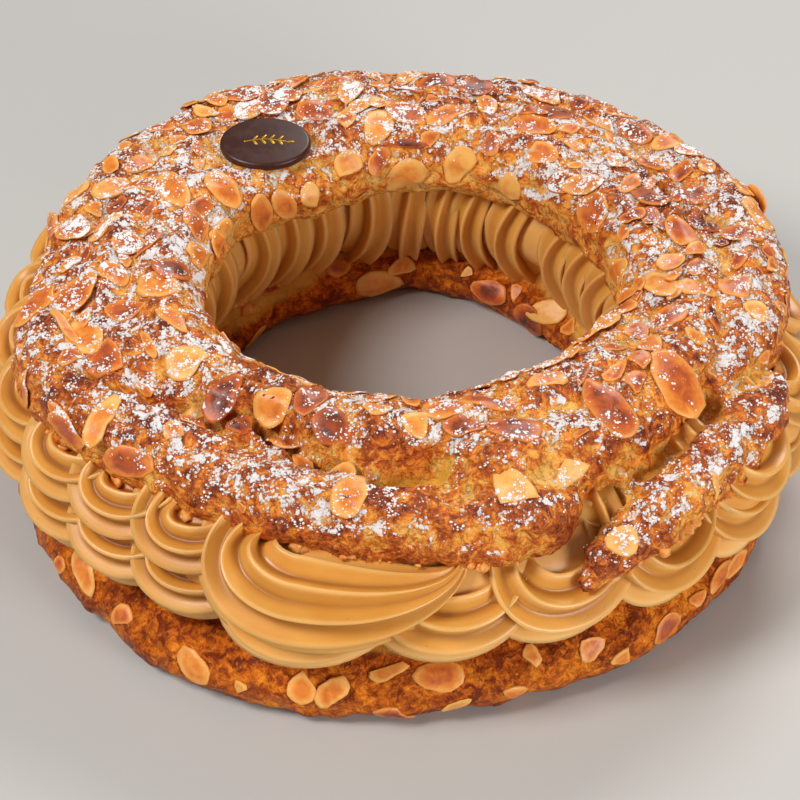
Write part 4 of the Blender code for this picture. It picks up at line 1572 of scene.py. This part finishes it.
@dataclass(frozen=True)
class SugarGrains:
    """Loose clumps of icing sugar that stand on the lid."""

    seed: int = 5
    count: int = 5200
    size: float = 0.34 * MM

    def build(self, grounds: Sequence[Ground]) -> bpy.types.Object:
        """Sifts the grains from above."""
        draw = random.Random(self.seed)
        ball = bmesh.new()
        bmesh.ops.create_icosphere(ball, subdivisions=1, radius=1)
        ball.verts.index_update()
        points = np.array([vertex.co[:] for vertex in ball.verts])
        faces = [[vertex.index for vertex in face.verts] for face in ball.faces]
        ball.free()
        heap = Heap()
        laid = 0
        while laid < self.count:
            angle = draw.uniform(-180, 180)
            radius = math.sqrt(draw.uniform(52**2, 122**2)) * MM
            thick = Lid.dusting(angle, radius) - 0.35
            patch = noise.noise(ring_point(angle, radius, 0) / (6 * MM))
            laid += 1
            if draw.random() > thick + patch:
                continue
            centre = ring_point(angle, radius, 0.12)
            for _ in range(draw.choice((1, 1, 2, 3, 6, 11))):
                start = centre + Vector((draw.gauss(0, 0.7), draw.gauss(0, 0.7), 0)) * MM
                found = [ground.tree.ray_cast(start, Vector((0, 0, -1))) for ground in grounds]
                tops = [(place.z, place, normal) for place, normal, _, _ in found if place is not None]
                if not tops:
                    continue
                height, place, normal = max(tops, key=lambda top: top[0])
                if height < 45 * MM or normal.z < 0.35:
                    continue
                spread = np.array([draw.uniform(0.7, 1.3), draw.uniform(0.7, 1.3), draw.uniform(0.4, 0.8)])
                grain = points * spread * self.size * draw.uniform(0.45, 1.35)
                heap.add(grain + np.array(place), faces)
        return heap.build("sugar_grains")


@dataclass(frozen=True)
class TornCrumbs:
    """Crumbs of soft dough that hang on along a torn edge."""

    name: str
    seed: int = 7
    count: int = 520
    size: float = 0.75 * MM

    def build(self, crust: bpy.types.Object, edge_height: Callable[[float, float], float], outside: float) -> bpy.types.Object:
        """Gathers the crumbs.

        Args:
            crust: The piece whose edge is torn.
            edge_height: The edge's height at an angle and a distance from the middle.
            outside: The crumbs lie further from the middle than this.

        Returns:
            The new piece.
        """
        draw = random.Random(self.seed)
        points = points_of(crust.data)
        facing = normals_of(crust.data)[:, 2]
        heights = np.array([edge_height(*ring_place(point)) for point in map(Vector, points)])
        above = np.abs(points[:, 2] - heights)
        far = np.hypot(points[:, 0], points[:, 1])
        edge = np.flatnonzero((above < 1.5 * MM) & (np.abs(facing) < 0.7) & (far > outside))
        ball = bmesh.new()
        bmesh.ops.create_icosphere(ball, subdivisions=2, radius=1)
        ball.verts.index_update()
        round_points = np.array([vertex.co[:] for vertex in ball.verts])
        faces = [[vertex.index for vertex in face.verts] for face in ball.faces]
        ball.free()
        heap = Heap()
        for _ in range(self.count):
            centre = points[draw.choice(edge)]
            shift = Vector((draw.random(), draw.random(), draw.random())) * 50
            lumps = np.array([1 + 0.55 * noise.noise(Vector(point) * 1.3 + shift) for point in round_points])
            spread = np.array([draw.uniform(0.6, 1.4) for _ in range(3)])
            grain = round_points * lumps[:, None] * spread * self.size * draw.uniform(0.4, 1.4) ** 2.5
            heap.add(grain + centre, faces)
        return heap.build(self.name)


# ---------------------------------------------------------------------------------------------
# Chocolate disc
# ---------------------------------------------------------------------------------------------


@dataclass
class Plaque:
    """The oval chocolate disc, with a plain gilt sprig drawn on it."""

    half_length: float = 13.8 * MM
    half_depth: float = 10.8 * MM
    thickness: float = 3 * MM
    edge: float = 1.1 * MM
    tilt: float = 8.0

    def build_disc(self, low: Vector, high: Vector) -> bpy.types.Object:
        """Makes the disc where the solid one stands."""
        shape = bmesh.new()
        bmesh.ops.create_cone(shape, cap_ends=True, segments=96, radius1=1, radius2=1, depth=self.thickness)
        bmesh.ops.scale(shape, vec=(self.half_length, self.half_depth, 1), verts=shape.verts)
        rims = [edge for edge in shape.edges if abs(edge.verts[0].co.z - edge.verts[1].co.z) < 0.01 * MM]
        bmesh.ops.bevel(
            shape, geom=rims, offset=self.edge, affect="EDGES", segments=6, profile=0.5, material=-1,
            offset_type="OFFSET", clamp_overlap=True,
        )
        self.settle(shape, (low + high) / 2)
        return new_object("plaque_disc", closed_mesh(shape))

    def settle(self, shape: bmesh.types.BMesh, middle: Vector) -> None:
        """Tips a shape a little towards the front, and moves it onto the crust."""
        tip = Matrix.Rotation(math.radians(self.tilt), 3, "X")
        bmesh.ops.rotate(shape, cent=(0, 0, 0), matrix=tip, verts=shape.verts)
        bmesh.ops.translate(shape, vec=middle, verts=shape.verts)

    def build_sprig(self, low: Vector, high: Vector) -> bpy.types.Object:
        """Makes a small gilt sprig: a bowed stem with pairs of leaves."""
        shape = bmesh.new()
        centre = Vector((0, 0, (self.thickness / 2) + 0.02 * MM))
        stem = []
        for step in range(21):
            share = step / 20
            stem.append(centre + Vector((blend(-6.5, 6.5, share), 1.1 * math.sin(math.pi * share) - 0.5, 0)) * MM)
        sweep(shape, stem, [0.22 * MM] * len(stem), Section(8))
        for step in (4, 8, 12, 16):
            for side in (-1, 1):
                self.leaf(shape, stem[step], math.radians(side * 52), 2.6 * MM)
        self.leaf(shape, stem[-1], 0.0, 2.4 * MM)
        self.settle(shape, (low + high) / 2)
        return new_object("plaque_sprig", closed_mesh(shape))

    @staticmethod
    def leaf(shape: bmesh.types.BMesh, root: Vector, turn: float, length: float) -> None:
        """Adds one flat leaf that grows from the stem."""
        made = bmesh.ops.create_uvsphere(shape, u_segments=12, v_segments=8, radius=1)["verts"]
        bmesh.ops.scale(shape, vec=(length / 2, length / 6, 0.2 * MM), verts=made)
        bmesh.ops.translate(shape, vec=(length / 2, 0, 0), verts=made)
        bmesh.ops.rotate(shape, cent=(0, 0, 0), matrix=Matrix.Rotation(turn, 3, "Z"), verts=made)
        bmesh.ops.translate(shape, vec=root, verts=made)


# ---------------------------------------------------------------------------------------------
# Studio
# ---------------------------------------------------------------------------------------------


@dataclass(frozen=True)
class Softbox:
    """One soft lamp: where it hangs, its size and its strength."""

    name: str
    at: tuple[float, float, float]
    size: float
    power: float
    colour: tuple[float, float, float] = (1.0, 0.98, 0.95)


@dataclass
class Studio:
    """The pale floor, the lamps and the camera."""

    elevation: float = 41.6
    distance: float = 0.6
    aim: tuple[float, float, float] = (-0.0004, -0.0293, 0.04)
    lens: float = 94.95
    lamps: Sequence[Softbox] = (
        Softbox("key", (-0.6, -0.3, 0.78), 0.35, 7.2),
        Softbox("fill", (0.6, -0.65, 0.3), 0.35, 4.6),
        Softbox("back", (0.3, 0.7, 0.8), 0.45, 6.5),
    )

    def build(self) -> None:
        """Sets the stage."""
        self.build_floor()
        self.build_lamps()
        self.build_camera()
        scene = bpy.context.scene
        scene.view_settings.view_transform = "Standard"
        scene.view_settings.look = "None"

    def build_floor(self) -> None:
        """A plain pale floor."""
        shape = bmesh.new()
        bmesh.ops.create_grid(shape, x_segments=1, y_segments=1, size=3)
        floor = new_object("floor", closed_mesh(shape, smooth=False))
        finish = PlainFinish("floor_finish", srgb(190, 189, 187), srgb(193, 192, 190), 0.6, patch=0.4)
        floor.data.materials.append(finish.material())

    def build_lamps(self) -> None:
        """Soft lamps and a dim even sky."""
        world = bpy.data.worlds.new("studio")
        bpy.context.scene.world = world
        world.use_nodes = True
        sky = world.node_tree.nodes["Background"]
        sky.inputs["Color"].default_value = (1.0, 0.97, 0.94, 1)
        sky.inputs["Strength"].default_value = 0.16
        for lamp in self.lamps:
            light = bpy.data.lights.new(lamp.name, "AREA")
            light.shape = "DISK"
            light.size = lamp.size
            light.energy = lamp.power
            light.color = lamp.colour
            item = bpy.data.objects.new(lamp.name, light)
            item.location = lamp.at
            item.rotation_euler = (Vector((0, 0, 0.04)) - item.location).to_track_quat("-Z", "Y").to_euler()
            bpy.context.scene.collection.objects.link(item)

    def build_camera(self) -> None:
        """The camera, in front and above."""
        tilt = math.radians(self.elevation)
        data = bpy.data.cameras.new("camera")
        data.lens = self.lens
        data.sensor_width = 36
        data.clip_start = 0.01
        camera = bpy.data.objects.new("camera", data)
        camera.location = Vector(self.aim) + Vector((0, -math.cos(tilt), math.sin(tilt))) * self.distance
        camera.rotation_euler = (math.pi / 2 - tilt, 0, 0)
        bpy.context.scene.collection.objects.link(camera)
        bpy.context.scene.camera = camera


# ---------------------------------------------------------------------------------------------
# Putting it together
# ---------------------------------------------------------------------------------------------


def finish_piece(
    item: bpy.types.Object, material: bpy.types.Material, replaced: str | None = None
) -> None:
    """Dresses a piece, hangs it on the root body, and hides the solid that it replaces.

    Args:
        item: The piece.
        material: Its finish.
        replaced: The solid that it replaces, if any.
    """
    item.data.materials.clear()
    item.data.materials.append(material)
    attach(item, "root")
    if replaced:
        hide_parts(replaced)
    item.data.calc_loop_triangles()
    LOG.info("%s: %d triangles", item.name, len(item.data.loop_triangles))


def main() -> None:
    """Builds the pastry piece by piece, and its studio."""
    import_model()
    Studio().build()

    dust = SugarDust()
    lid_finish = CrustFinish(
        "lid_crust_finish", srgb(248, 188, 72), srgb(255, 200, 106), srgb(252, 160, 54), srgb(212, 102, 30), srgb(120, 42, 12)
    )
    base_finish = CrustFinish(
        "base_crust_finish", srgb(248, 188, 84), srgb(252, 176, 62), srgb(244, 142, 30), srgb(212, 104, 18), srgb(130, 48, 10),
        gloss=0.2,
    )
    lid = Lid()
    lid_crust = lid.build()
    finish_piece(lid_crust, lid_finish.material(dust), "choux_lid")
    crumb_finish = PlainFinish("crumb_finish", srgb(244, 180, 92), srgb(222, 128, 52), 0.6, patch=1.6 * MM, relief=0.4 * MM)
    crumbs = TornCrumbs("lid_crumbs").build(lid_crust, lid.underside, 80 * MM)
    finish_piece(crumbs, crumb_finish.material())
    base = LowerCrust()
    base_crust = base.build()
    finish_piece(base_crust, base_finish.material(dust), "choux_base")
    torn = TornCrumbs("base_crumbs", seed=9, count=420).build(base_crust, base.rim, 55 * MM)
    finish_piece(torn, crumb_finish.material())

    cream_finish = CreamFinish().material()
    filling = Filling()
    finish_piece(filling.build_core(), cream_finish, "praline_cream")
    finish_piece(filling.build_front(), cream_finish, "praline_cream")
    finish_piece(filling.build_row("cream_lower_swags", True), cream_finish, "praline_cream")
    finish_piece(filling.build_row("cream_upper_swags", False), cream_finish, "praline_cream")
    finish_piece(filling.build_inner(), cream_finish, "praline_cream")

    almond_finish = AlmondFinish().material(dust)
    lid_ground = Ground(lid_crust)
    lid_almonds = LidAlmondPlan().scatter(lid_ground, lid).build()
    finish_piece(lid_almonds, almond_finish)
    base_almonds = BaseAlmondPlan().scatter(Ground(base_crust), base).build()
    finish_piece(base_almonds, almond_finish)

    sugar = SugarGrains().build([lid_ground, Ground(lid_almonds)])
    sugar_finish = PlainFinish("sugar_finish", srgb(250, 248, 247), srgb(238, 234, 232), 0.85, patch=1 * MM)
    finish_piece(sugar, sugar_finish.material())

    plaque = Plaque()
    low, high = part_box("chocolate_plaque")
    chocolate = PlainFinish("chocolate_finish", srgb(56, 22, 14), srgb(64, 27, 17), 0.34, patch=6 * MM)
    finish_piece(plaque.build_disc(low, high), chocolate.material(), "chocolate_plaque")
    gilt = PlainFinish("gilt_finish", srgb(214, 168, 60), srgb(190, 140, 40), 0.35, 0.9, patch=2 * MM)
    finish_piece(plaque.build_sprig(low, high), gilt.material())


if __name__ == "__main__":
    logging.basicConfig(level=logging.INFO, format="%(message)s")
    main()
